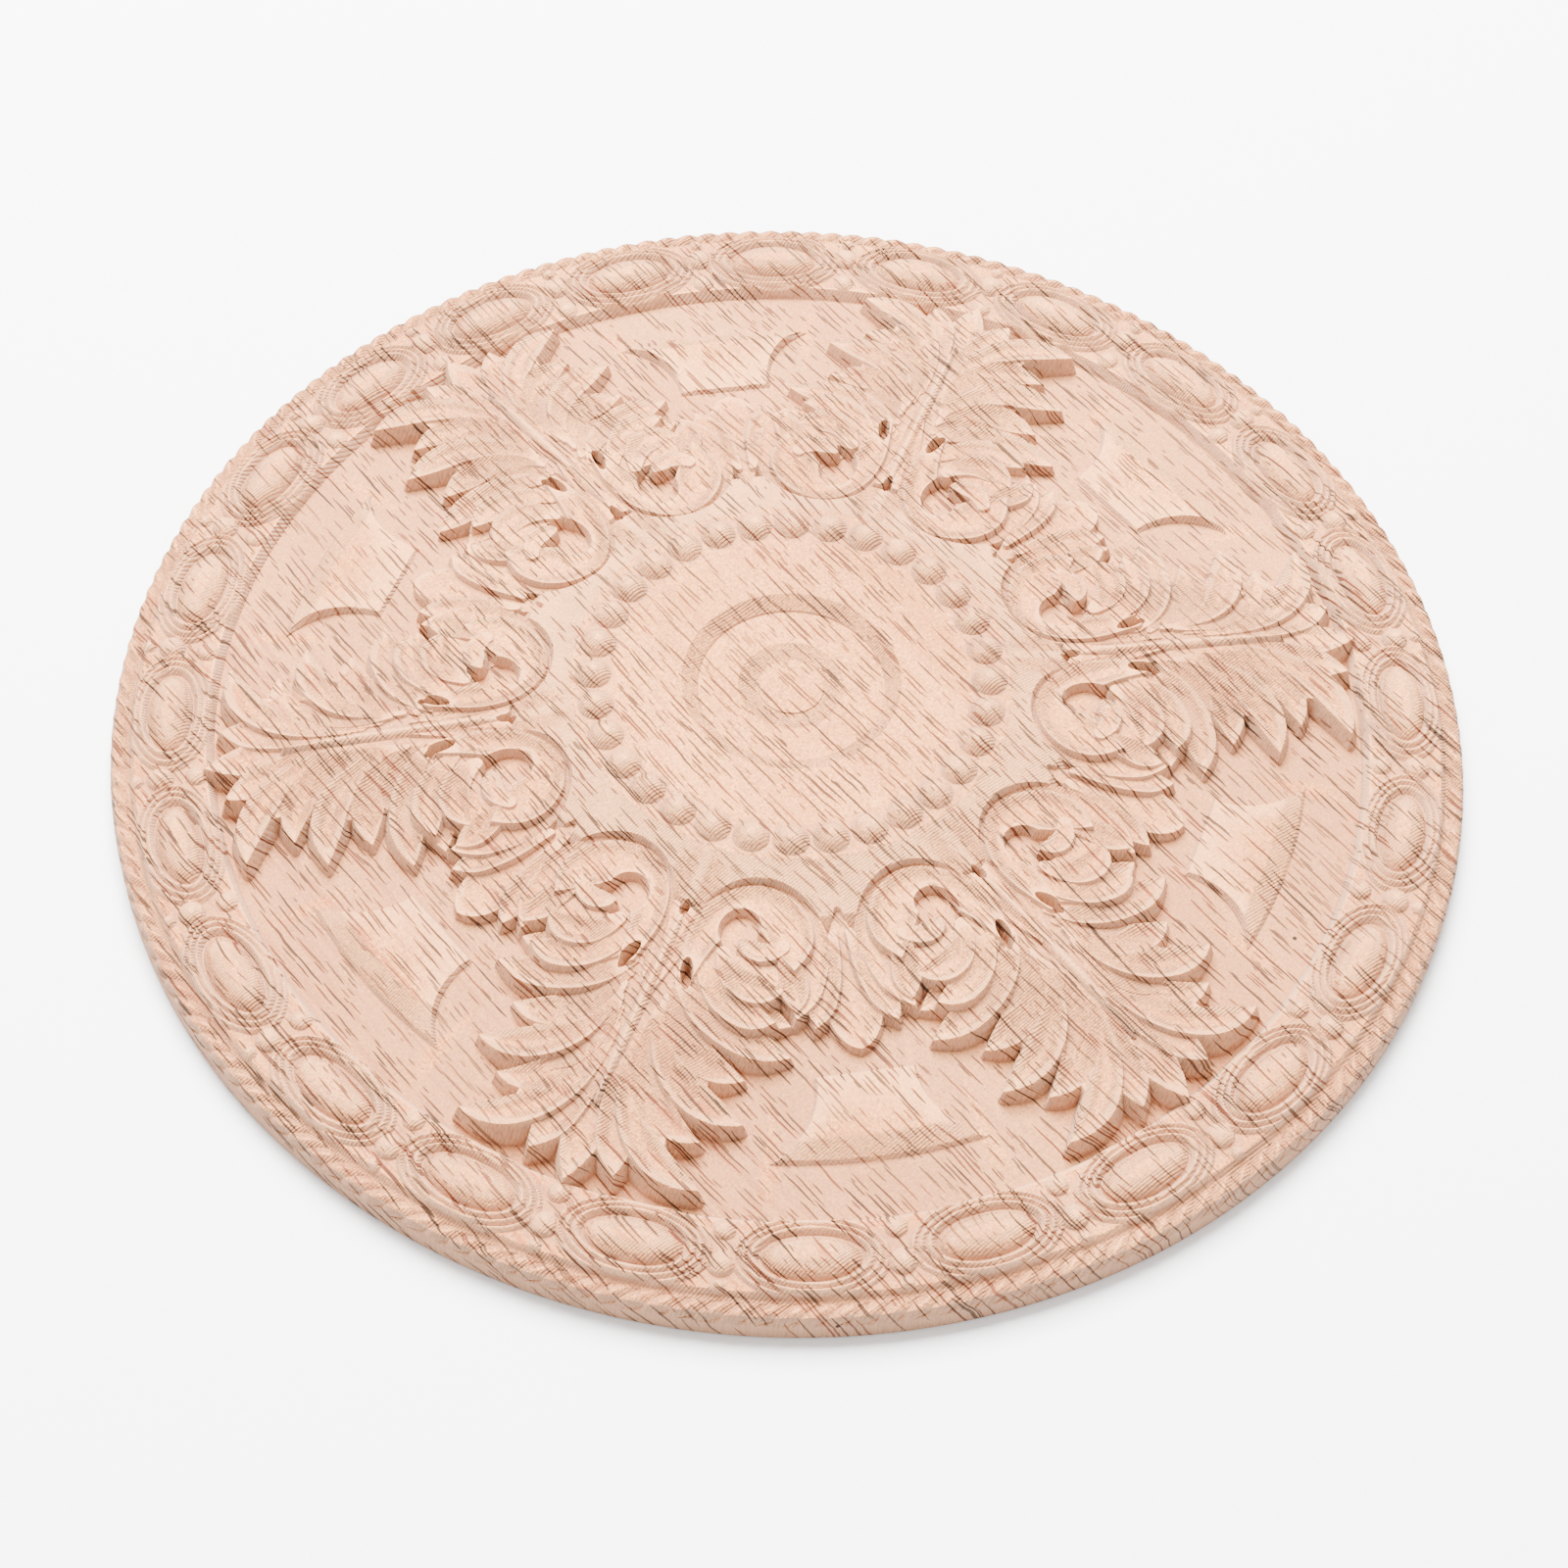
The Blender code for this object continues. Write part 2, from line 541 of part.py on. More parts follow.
def add_rim(mesh):
    """Adds the rounded edge, the plain side and the flat back."""
    radii = [GROOVE_RADIUS, GROOVE_RADIUS + EDGE_WIDTH / 2, RADIUS]
    heights = [float(border_height(np.array([0.0]), np.array([radius]))[0]) for radius in radii]
    profile = [mesh.verts.new(Vector((0.0, radius, z)) * MM)
               for radius, z in zip(radii + [RADIUS], heights + [0.0])]
    edges = [mesh.edges.new(pair) for pair in zip(profile, profile[1:])]
    bmesh.ops.spin(mesh, geom=profile + edges, cent=(0, 0, 0), axis=(0, 0, 1), angle=2 * math.pi,
                   steps=RIM_STEPS, use_merge=True)
    back = [edge for edge in mesh.edges if edge.is_boundary and max(v.co.z for v in edge.verts) == 0.0]
    bmesh.ops.contextual_create(mesh, geom=back)


def wood():
    """Returns the pale raw wood of the rosette."""
    material = bpy.data.materials.new("pale_wood")
    material.use_nodes = True
    shader = material.node_tree.nodes["Principled BSDF"]
    shader.inputs["Base Color"].default_value = (0.78, 0.56, 0.42, 1.0)
    shader.inputs["Roughness"].default_value = 0.72
    shader.inputs["Metallic"].default_value = 0.0
    return material


def build_rosette():
    """Builds the whole rosette as one closed solid."""
    mesh = bmesh.new()
    add_sectors(mesh)
    add_middle(mesh)
    add_rim(mesh)
    bmesh.ops.remove_doubles(mesh, verts=mesh.verts, dist=JOIN * MM)
    bmesh.ops.triangulate(mesh, faces=mesh.faces)
    bmesh.ops.recalc_face_normals(mesh, faces=mesh.faces)
    data = bpy.data.meshes.new("rosette")
    mesh.to_mesh(data)
    mesh.free()
    rosette = bpy.data.objects.new("rosette", data)
    bpy.context.scene.collection.objects.link(rosette)
    data.materials.append(wood())
    return rosette


def main():
    """Clears the scene and builds the part."""
    for item in list(bpy.data.objects):
        bpy.data.objects.remove(item)
    build_rosette()


main()
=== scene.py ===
"""Looks of the carved wooden rosette: its carved surface, its raw wood and a plain studio round it.

Shapes are worked out in millimetres and turned into metres where a mesh is made. The frame is the part's
own: the origin is the middle of the flat back, +Z points out of the carving, and +Y runs along the grain
and along the middle of the first spray.
"""
from __future__ import annotations

import logging
import math
from collections.abc import Callable
from dataclasses import dataclass
from enum import Enum

import bmesh
import bpy
import numpy as np
from mathutils import Matrix, Vector


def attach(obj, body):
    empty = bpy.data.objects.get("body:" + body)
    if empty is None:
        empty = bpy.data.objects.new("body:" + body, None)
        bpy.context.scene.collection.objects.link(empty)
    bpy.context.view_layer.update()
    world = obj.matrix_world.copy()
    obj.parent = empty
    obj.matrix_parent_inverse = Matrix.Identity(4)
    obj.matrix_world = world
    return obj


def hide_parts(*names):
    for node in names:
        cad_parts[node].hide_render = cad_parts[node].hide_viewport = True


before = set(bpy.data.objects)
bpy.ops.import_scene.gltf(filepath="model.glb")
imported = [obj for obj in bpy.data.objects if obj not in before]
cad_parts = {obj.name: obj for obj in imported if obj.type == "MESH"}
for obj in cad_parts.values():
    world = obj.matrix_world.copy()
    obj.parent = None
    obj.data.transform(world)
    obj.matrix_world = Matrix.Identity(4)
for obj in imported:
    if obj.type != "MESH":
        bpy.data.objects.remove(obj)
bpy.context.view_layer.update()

log = logging.getLogger("rosette")

MM = 0.001
TOUCHING = 0.000001
# TONE names each point's proudness, which the wood turns into painted shade in hollows and a painted
# highlight on proud places.
TONE = "edge_tone"
Array = np.ndarray
Point = tuple[float, float]
Triple = tuple[float, float, float]
Height = Callable[[Array, Array], Array]
Colour = tuple[float, float, float, float]
Socket = bpy.types.NodeSocket
MIDDLE: Point = (math.sin(math.pi / 6), math.cos(math.pi / 6))


def smoothstep(value: Array) -> Array:
    """Returns 3v^2 - 2v^3 of a value held between 0 and 1."""
    held = np.clip(value, 0, 1)
    return held * held * (3 - 2 * held)


def curve_through(points: tuple[Point, ...], count: int) -> Array:
    """Works out a smooth line through a few points.

    Two points give a straight line and three a Bezier curve, (1-t)^2 a + 2t(1-t) b + t^2 c. More points give
    a Catmull-Rom curve, which passes each point with the direction of its neighbours' chord.

    Args:
        points: The points that shape the line.
        count: About how many points to return.

    Returns:
        The line's points, one a row.
    """
    p = np.array(points, float)
    t = np.linspace(0, 1, count)[:, None]
    if len(p) == 2:
        return p[0] + (p[1] - p[0]) * t
    if len(p) == 3:
        return (1 - t) ** 2 * p[0] + 2 * t * (1 - t) * p[1] + t ** 2 * p[2]
    padded = np.vstack([2 * p[0] - p[1], p, 2 * p[-1] - p[-2]])
    share = np.linspace(0, 1, max(2, count // (len(p) - 1)), endpoint=False)[:, None]
    parts = []
    for a, b, c, d in zip(padded, padded[1:], padded[2:], padded[3:]):
        bend = 2 * a - 5 * b + 4 * c - d + share * (3 * b - a - 3 * c + d)
        parts.append(b + 0.5 * share * (c - a + share * bend))
    return np.vstack(parts + [p[-1:]])


def nearest_on(line: Array, x: Array, y: Array) -> tuple[Array, Array]:
    """Finds where a line passes closest to each point.

    Args:
        line: The line's points.
        x: Places aside.
        y: Places outwards.

    Returns:
        The place along the line from 0 to 1 and the distance from it.
    """
    start = line[:-1]
    step = line[1:] - start
    length = np.linalg.norm(step, axis=1)
    run = np.concatenate([[0.0], np.cumsum(length)])
    unit = step / length[:, None]
    px = x[:, None] - start[:, 0]
    py = y[:, None] - start[:, 1]
    along = np.clip(px * unit[:, 0] + py * unit[:, 1], 0, length)
    gap = np.hypot(px - along * unit[:, 0], py - along * unit[:, 1])
    best = gap.argmin(axis=1)
    row = np.arange(len(x))
    return (run[best] + along[row, best]) / run[-1], gap[row, best]


@dataclass(frozen=True)
class Leaf:
    """One leaf lobe from root to tip in its spray's frame: x aside and y outwards, in millimetres."""

    spine: tuple[Point, ...]
    half: float
    root_z: float
    tip_z: float
    hollow: float = 1.2
    widest: float = 0.66
    root_half: float = 0.8
    wall: float = 4.0
    fall: float = 1.3
    open: float = 0.55
    blunt: float = 1.0
    points: int = 36
    reach: float = 4.0

    def half_at(self, t: Array) -> Array:
        """Returns half the width at t: a quarter sine to the widest place, then an arch (1 - s^2)^blunt."""
        rise = np.sin(np.clip(t / self.widest, 0, 1) * math.pi / 2)
        swell = self.root_half + (self.half - self.root_half) * rise
        arch = self.half * (1 - np.clip((t - self.widest) / (1 - self.widest), 0, 1) ** 2) ** self.blunt
        return np.where(t < self.widest, swell, arch)

    def carve(self, z: Array, x: Array, y: Array) -> Array:
        """Lays the leaf over a surface.

        The edge falls from root_z to tip_z as t to a power. Inside, the top is the edge less
        hollow * (1 - a^2) * s(t / open) * (1 - t^8), where s is a smooth step and a is the distance from the
        spine over half the width. Outside, a wall falls wall times the distance.

        Args:
            z: The heights so far.
            x: Places aside.
            y: Places outwards.

        Returns:
            The heights with the leaf laid over them.
        """
        line = curve_through(self.spine, max(self.points, 6 * len(self.spine)))
        reach = self.half + self.reach
        low = line.min(axis=0) - reach
        high = line.max(axis=0) + reach
        near = (x > low[0]) & (x < high[0]) & (y > low[1]) & (y < high[1])
        t, gap = nearest_on(line, x[near], y[near])
        half = self.half_at(t)
        outside = gap - half
        edge = self.root_z + (self.tip_z - self.root_z) * t ** self.fall
        across = np.clip(gap / np.maximum(half, 0.001), 0, 1)
        top = edge - self.hollow * (1 - across ** 2) * smoothstep(t / self.open) * (1 - t ** 8)
        ground = z[near]
        inside = np.maximum(top, ground + self.wall * outside)
        made = z.copy()
        made[near] = np.where(outside <= 0, inside, np.maximum(ground, edge - self.wall * outside))
        return made

    def web(self, other: Leaf, share: float, lower: float) -> Leaf:
        """Works out the skin that joins this lobe to the next, so that they part only near their tips.

        Args:
            other: The next lobe.
            share: How far along both spines the skin reaches.
            lower: How far it lies under their edges.

        Returns:
            A flat leaf along the mean of both spines, half as wide as they are apart at its end.
        """
        pair = (self, other)
        root = np.mean([leaf.spine[0] for leaf in pair], axis=0)
        bend = np.mean([np.array(leaf.spine[0]) * (1 - share) + np.array(leaf.spine[-2]) * share
                        for leaf in pair], axis=0)
        ends = [curve_through(leaf.spine, 101)[round(100 * share)] for leaf in pair]
        level = [leaf.root_z + (leaf.tip_z - leaf.root_z) * share ** leaf.fall for leaf in pair]
        half = float(np.hypot(*(ends[0] - ends[1]))) / 2
        return Leaf((tuple(root), tuple(bend), tuple(np.mean(ends, axis=0))), half,
                    min(leaf.root_z for leaf in pair) - lower, sum(level) / 2 - lower, 0.0, 0.8, 1.5)


@dataclass(frozen=True)
class Ground:
    """The domed field, the plain skirt round the beads and the raised panels between the sprays."""

    field_z: float = 6.2
    rise: float = 0.095
    ledge_radius: float = 127.3
    skirt_z: float = 20.2
    skirt_start: float = 48.1
    skirt_fall: float = 0.24
    skirt_end: float = 61.0
    skirt_wall: float = 1.2
    panel_outer: float = 115.1
    panel_inner: float = 94.8
    panel_height: float = 2.4
    panel_top: float = 10.3
    panel_bevel: float = 0.7
    panel_crest: float = 111.0
    panel_slope: float = 0.36
    panel_side_radius: float = 18.2
    panel_side_centre: Point = (29.0, 95.5)

    def panel_distance(self, x: Array, y: Array) -> Array:
        """Returns how far points lie outside the panel's foot: an outer arc, a straight end, hollow sides."""
        outwards = x * MIDDLE[0] + y * MIDDLE[1]
        aside = np.abs(x * MIDDLE[1] - y * MIDDLE[0])
        away = np.hypot(aside - self.panel_side_centre[0], outwards - self.panel_side_centre[1])
        return np.maximum.reduce([np.hypot(x, y) - self.panel_outer, self.panel_inner - outwards,
                                  self.panel_side_radius - away])

    def height(self, x: Array, y: Array) -> Array:
        """Works out the ground under the leaves.

        The field rises with a constant slope towards the middle. The skirt falls gently from the beads and
        then steeply. A panel's top is level, slopes down outside its crest and falls away over its bevel.

        Args:
            x: Places aside.
            y: Places outwards.

        Returns:
            The highest of the field, the skirt and the panel.
        """
        r = np.hypot(x, y)
        plain = self.field_z + self.rise * np.clip(self.ledge_radius - r, 0, None)
        skirt = (self.skirt_z - self.skirt_fall * (np.minimum(r, self.skirt_end) - self.skirt_start)
                 - self.skirt_wall * np.clip(r - self.skirt_end, 0, None))
        top = np.minimum(plain + self.panel_height, self.panel_top)
        top = top - self.panel_slope * np.clip(r - self.panel_crest, 0, None)
        raised = plain + (top - plain) * np.clip(-self.panel_distance(x, y) / self.panel_bevel, 0, 1)
        return np.maximum.reduce([plain, skirt, raised])


@dataclass(frozen=True)
class Pocket:
    """A sunk eye, slot or notch: a spine with a width that closes towards its end, a floor and walls."""

    spine: tuple[Point, ...]
    half: float
    closing: float
    floor: float
    wall: float = 4.0

    def sink(self, z: Array, x: Array, y: Array) -> Array:
        """Cuts the pocket: the surface falls wall times the depth inside the outline, down to the floor."""
        t, gap = nearest_on(curve_through(self.spine, 24), x, y)
        depth = np.clip(self.half * (1 - t ** 2) ** self.closing - gap, 0, None)
        return np.minimum(z, np.maximum(self.floor, z - self.wall * depth))


@dataclass(frozen=True)
class Spray:
    """Half of one acanthus spray with half of the scrolls and the palm leaf beside it."""

    frond_tips: tuple[tuple[Point, ...], ...] = (((14.6, 107.2), (29.3, 104.6), (25.8, 94.8)),
                                                 ((18.3, 91.2), (32.8, 86.6), (30.2, 79.6)))
    frond_step: Point = (3.6, 16.4)
    frond_root_step: float = 6.0
    frond_up: float = 0.8
    web_share: float = 0.76
    web_lower: float = 0.4
    palm_reach: Point = (60, 91)

    def crown(self) -> list[Leaf]:
        """Returns the tip, the lobe beside it and the outer frond."""
        return [
            Leaf(((0.0, 97.0), (0.0, 129.2)), 4.3, 15.0, 11.3, 0.7, 0.62),
            Leaf(((1.6, 100), (4.5, 113), (9.3, 125.2)), 3.9, 15.2, 11.8, 0.8),
            Leaf(((2.6, 94), (5.0, 121), (26.4, 121.8)), 3.4, 16.0, 11.4, 0.9, 0.7),
            Leaf(((3.4, 90), (6.5, 112.5), (22.5, 111.3)), 3.6, 16.4, 11.3, 0.9),
        ]

    def frond(self, index: int) -> list[Leaf]:
        """Returns the three lobes of the second (0) or third (1) frond."""
        aside, lower = (step * index for step in self.frond_step)
        root = self.frond_root_step * index
        up = self.frond_up * index
        tips = self.frond_tips[index]
        return [
            Leaf(((4.4, 88 - root), (5.6 + aside, 103.5 - lower), tips[0]), 2.9, 17.0, 12.3 + up, 0.7, 0.6),
            Leaf(((4.8, 85 - root), (8.5 + aside, 106 - lower), tips[1]), 3.6, 17.2, 11.6 + up, 1.0, 0.68),
            Leaf(((5.5, 81 - root), (9.5 + aside, 98 - lower), tips[2]), 3.6, 17.6, 11.8 + up, 1.0),
        ]

    def webs(self) -> list[Leaf]:
        """Returns the skins between neighbouring lobes, from the tip down to the scroll."""
        scroll = self.scroll()
        chain = self.crown() + self.frond(0) + self.frond(1) + [scroll[1], scroll[3]]
        return [upper.web(lower, self.web_share, self.web_lower) for upper, lower in zip(chain, chain[1:])]

    def beds(self) -> list[Leaf]:
        """Returns the plain beds under the eye, under the curled lobes and along the stem."""
        return [
            Leaf(((12.0, 61.0), (16.5, 72.0)), 6.0, 14.6, 14.6, 0.0, 0.5, 5.0),
            Leaf(((10.5, 71), (16, 74.8), (26.5, 70.5)), 3.4, 17.0, 16.0, 0.0, 0.7, 1.4),
            Leaf(((2.6, 64), (3.0, 84), (1.5, 110)), 3.4, 17.3, 14.6, 0.0, 0.25, 2.0),
        ]

    def palm(self) -> list[Leaf]:
        """Returns the leaf between two sprays and the smaller leaf beside it."""
        along = tuple((MIDDLE[0] * distance, MIDDLE[1] * distance) for distance in self.palm_reach)
        return [
            Leaf(along, 5.6, 16.0, 12.0, 0.7, 0.72, blunt=0.6),
            Leaf(((31, 57), (33.4, 66), (34.6, 73), (35.3, 78.8)), 3.0, 16.6, 13.4, 0.7, 0.7),
        ]

    def scroll(self) -> list[Leaf]:
        """Returns the outer band, the lobes round the eye, the broad scroll, its tongue and the rib."""
        return [
            Leaf(((0.8, 84), (2.8, 73), (4.8, 62.5), (9, 55.8), (15.8, 53.2), (23, 55.2),
                  (28.4, 61), (30.6, 69), (30.9, 78.8)), 3.0, 17.4, 14.2, 0.6, 0.88, 0.7, 4.0, 3.0, 0.2),
            Leaf(((9, 75.5), (16.5, 85.2), (27.4, 81.2)), 3.3, 17.4, 15.2, 0.8, 0.66, 1.4),
            Leaf(((23.6, 66), (28.2, 71.5), (30.6, 77.4)), 3.0, 17.2, 15.0, 0.8, 0.6, 1.6),
            Leaf(((11.6, 70.8), (17.5, 80.2), (26.4, 73.8)), 3.4, 17.8, 16.0, 0.9, 0.6, 1.4),
            Leaf(((6.4, 79), (6.4, 69.5), (8.6, 62), (13.6, 57.4), (19.5, 58.4), (24, 62.8), (27, 69.4)),
                 5.2, 18.2, 17.4, 1.0, 0.74, 1.6, 4.0, 1.3, 0.3),
            Leaf(((22.5, 65), (19.5, 70.2), (13.6, 66.6)), 2.3, 17.6, 18.2, 0.6, 0.55, 1.6),
            Leaf(((0, 65.3), (0, 111.8)), 1.5, 17.7, 15.2, -0.8, 0.3, 0.5, 3.0, 1.0, 0.1),
        ]

    def pockets(self) -> list[Pocket]:
        """Returns the hooked eye, the slot beside the stem (two halves) and the notch at its foot."""
        return [
            Pocket(((12.6, 62.7), (10.7, 66.2), (12.8, 69.6)), 4.2, 1.1, 14.2, 4.0),
            Pocket(((6.4, 78.2), (7.4, 81.6)), 1.35, 0.5, 13.2, 8.0),
            Pocket(((6.4, 78.2), (5.4, 74.8)), 1.35, 0.5, 13.2, 8.0),
            Pocket(((0.0, 63.0), (0.0, 65.2)), 1.1, 0.5, 14.0),
            Pocket(((0.0, 63.0), (0.0, 60.8)), 1.1, 0.5, 14.0),
        ]

    def carve(self, z: Array, x: Array, y: Array) -> Array:
        """Lays every leaf over the ground in carving order and cuts the pockets."""
        leaves = self.webs() + self.beds() + self.crown() + self.frond(0) + self.frond(1)
        for leaf in leaves + self.palm() + self.scroll():
            z = leaf.carve(z, x, y)
        for pocket in self.pockets():
            z = pocket.sink(z, x, y)
        return z


@dataclass(frozen=True)
class Border:
    """The ledge with its ovals, each in three fine rings, and the small beads between them."""

    ovals: int = 24
    ledge_z: float = 8.8
    ledge_radius: float = 127.3
    ledge_wall: float = 1.5
    ledge_step: float = 2.6
    outer_radius: float = 145.8
    groove_z: float = 7.5
    groove_width: float = 1.4
    oval_radius: float = 136.9
    dome: Triple = (10.2, 4.9, 2.8)
    rings: tuple[Triple, ...] = ((11.9, 6.3, 1.6), (13.7, 7.6, 1.3), (15.4, 8.9, 1.0))
    ring_slope: float = 1.25
    beads: tuple[Triple, ...] = ((138.9, 2.9, 2.0), (131.1, 2.4, 1.4), (144.0, 1.5, 1.2))

    def height(self, x: Array, y: Array) -> Array:
        """Works out the border's height.

        An oval's dome is h * sqrt(1 - e^2), where e is the elliptic distance. Each ring is a rounded crest,
        h - slope * d^1.5, with d the distance from its ellipse. A gap bead is h * sqrt(1 - b^2).

        Args:
            x: Places aside.
            y: Places outwards.

        Returns:
            The ledge's height with what stands on it.
        """
        r = np.hypot(x, y)
        angle = np.arctan2(x, y)
        pitch = 2 * math.pi / self.ovals
        aside = ((angle % pitch) - pitch / 2) * self.oval_radius
        out = r - self.oval_radius
        length, width, high = self.dome
        raised = high * np.sqrt(np.clip(1 - (aside / length) ** 2 - (out / width) ** 2, 0, 1))
        for ring_length, ring_width, crest in self.rings:
            share = np.hypot(aside / ring_length, out / ring_width)
            away = np.abs(share - 1) * (ring_width + (ring_length - ring_width) * np.abs(aside) / ring_length)
            raised = np.maximum(raised, crest - self.ring_slope * away ** 1.5)
        between = (((angle + pitch / 2) % pitch) - pitch / 2)
        for radius, size, high in self.beads:
            away = np.hypot(between * radius, r - radius) / size
            raised = np.maximum(raised, high * np.sqrt(np.clip(1 - away ** 2, 0, 1)))
        edge = smoothstep((self.outer_radius - r) / self.groove_width)
        return self.groove_z + (self.ledge_z - self.groove_z + raised) * edge

    def join(self, z: Array, x: Array, y: Array) -> Array:
        """Sets the border beside the carved field: a short wall rises from the field to the ledge."""
        inside = self.ledge_radius + self.ledge_wall - np.hypot(x, y)
        over = np.where(inside > -3.0, z, 0)
        step = self.height(x, y) - self.ledge_step / self.ledge_wall * np.clip(inside, 0, None)
        return np.where(inside > self.ledge_wall, z, np.maximum(over, step))


@dataclass(frozen=True)
class Dish:
    """The turned middle and its ring of beads."""

    beads: int = 32
    ring_radius: float = 43.5
    bead_radius: float = 4.0
    bead_rise: float = 2.5
    floor: float = 20.2
    inner: float = 38.7
    outer: float = 48.1
    profile: tuple[Point, ...] = (
        (0.0, 16.9), (7.0, 16.9), (7.2, 16.85), (7.4, 16.5), (7.6, 16.45), (11.7, 17.45), (12.0, 17.5),
        (12.25, 17.4), (20.6, 17.3), (20.75, 17.75), (24.0, 19.35), (24.35, 19.45), (31.0, 19.8),
        (38.2, 20.2))

    def bead_height(self, x: Array, y: Array) -> Array:
        """Returns the floor with half a bead, bead_rise * (1 - (d / R)^2)^0.85 high."""
        pitch = 2 * math.pi / self.beads
        turn = np.arctan2(x, y) - pitch / 2
        away = np.hypot(turn * self.ring_radius, np.hypot(x, y) - self.ring_radius)
        return self.floor + self.bead_rise * np.clip(1 - (away / self.bead_radius) ** 2, 0, 1) ** 0.85


@dataclass(frozen=True)
class Rope:
    """The twisted rope round the edge, the plain side under it and the flat back."""

    strands: int = 180
    samples: int = 6
    inner: float = 146.2
    outer: float = 150.0
    inner_z: float = 7.4
    crest_z: float = 8.0
    side_z: float = 5.6
    lean: float = 5.4
    groove: float = 0.85
    rows: int = 8
    climb: float = 1.6
    crest_end: float = 0.62
    inset: float = 0.7
    side_drop: float = 0.7
    side_columns: int = 240
    chamfer: float = 0.4

    def surface(self) -> tuple[Array, Array]:
        """Works out the rope as a grid of angle and place across.

        Across, the rope is a half round from its inner foot over the crest to the side. Each strand is a
        rounded bump, |sin| of the angle, which leans: a column's angle falls as it runs outwards.

        Returns:
            The points as rows x columns x 3, from the inner foot to the side, and their tone, low in the
            grooves for painted shade and high on the strands for a painted highlight.
        """
        columns = self.strands * self.samples
        base = np.arange(columns) * 2 * math.pi / columns
        share = np.linspace(0, 1, self.rows)[:, None]
        middle = (self.inner + self.outer) / 2
        radius = middle - (self.outer - self.inner) / 2 * np.cos(share * math.pi)
        rise = np.sin(np.clip(share * self.climb, 0, 1) * math.pi / 2)
        z = self.inner_z + (self.crest_z - self.inner_z) * rise
        z = z - (self.crest_z - self.side_z) * smoothstep((share - self.crest_end) / (1 - self.crest_end))
        bump = np.abs(np.sin(np.arange(columns) * math.pi / self.samples))
        weight = np.sin(share * math.pi) ** 0.5
        sunk = self.groove * (1 - bump)
        angle = base - self.lean * (share - 0.5) / middle
        radius = radius - sunk * self.inset * smoothstep((share - 0.5) * 2)
        z = z - sunk * weight
        # The tone is low in the grooves between strands, where the wood paints shade, and high on the
        # strands, where it paints a highlight.
        return swept(radius, z, angle), weight * (bump * 1.6 - 1)


@dataclass
class Patch:
    """Points and triangles on their way to the finished mesh, in millimetres.

    Each point's tone tells how far it stands above (up to 1) or below (down to -1) what is round it.
    The wood paints shade where the tone is low and a highlight where it is high.
    """

    points: Array
    triangles: Array
    tone: Array

    def turned(self, angle: float, mirrored: bool) -> Patch:
        """Returns a copy, mirrored about +Y if asked and then turned clockwise by an angle."""
        flip = -1.0 if mirrored else 1.0
        x = self.points[:, 0] * flip
        y = self.points[:, 1]
        cos, sin = math.cos(angle), math.sin(angle)
        points = np.stack([x * cos + y * sin, y * cos - x * sin, self.points[:, 2]], axis=1)
        return Patch(points, self.triangles[:, ::-1] if mirrored else self.triangles, self.tone)

    def repeated(self, times: int) -> Patch:
        """Returns the patch and its mirror image, both repeated round the middle."""
        return join_patches([self.turned(2 * math.pi * k / times, mirrored)
                             for k in range(times) for mirrored in (False, True)])

    def ring(self, radius: float, tolerance: float = 0.02) -> Array:
        """Returns the indices of the points on a circle, in order of their angle."""
        on = np.flatnonzero(np.abs(np.hypot(self.points[:, 0], self.points[:, 1]) - radius) < tolerance)
        return in_order(self.points, on)


def added(name: str, data: bpy.types.ID) -> bpy.types.Object:
    """Makes an object and puts it into the scene."""
    made = bpy.data.objects.new(name, data)
    bpy.context.scene.collection.objects.link(made)
    return made


def in_order(points: Array, chosen: Array) -> Array:
    """Returns the indices of chosen points in order of their angle."""
    return chosen[np.argsort(np.arctan2(points[chosen, 1], points[chosen, 0]), kind="stable")]


def swept(radius: Array, z: Array, angle: Array) -> Array:
    """Returns rows of points with a radius and a height, swept through the angles of the columns."""
    return np.stack([radius * np.cos(angle), radius * np.sin(angle), z + 0 * angle], axis=-1)


def join_patches(patches: list[Patch]) -> Patch:
    """Puts patches together without welding them."""
    starts = np.cumsum([0] + [len(patch.points) for patch in patches[:-1]])
    return Patch(np.vstack([patch.points for patch in patches]),
                 np.vstack([patch.triangles + start for patch, start in zip(patches, starts)]),
                 np.concatenate([patch.tone for patch in patches]))


def grid_triangles(rows: int, columns: int, closed: bool) -> Array:
    """Returns two triangles a cell, facing up where columns run counter-clockwise and rows outwards."""
    row, column = np.ogrid[:rows - 1, :columns if closed else columns - 1]
    a = (row * columns + column).ravel()
    b = (row * columns + (column + 1) % columns).ravel()
    return np.vstack([np.stack([a, a + columns, b + columns], 1), np.stack([a, b + columns, b], 1)])


def zip_rings(points: Array, inner: Array, outer: Array) -> Array:
    """Joins two rings of points that differ in number.

    Walking round by angle, each step along a ring makes a triangle with the last point passed on the other.

    Args:
        points: All points.
        inner: The inner or lower ring's indices, in order of angle.
        outer: The outer or upper ring's indices, in order of angle.

    Returns:
        The triangles, facing up or outwards.
    """
    angle = np.arctan2(points[:, 1], points[:, 0])
    last_inner = (np.searchsorted(angle[inner], angle[outer], side="right") - 1) % len(inner)
    last_outer = (np.searchsorted(angle[outer], angle[inner], side="left") - 1) % len(outer)
    along_outer = np.stack([np.roll(outer, 1), outer, inner[last_inner]], 1)
    along_inner = np.stack([np.roll(inner, 1), outer[last_outer], inner], 1)
    return np.vstack([along_outer, along_inner])


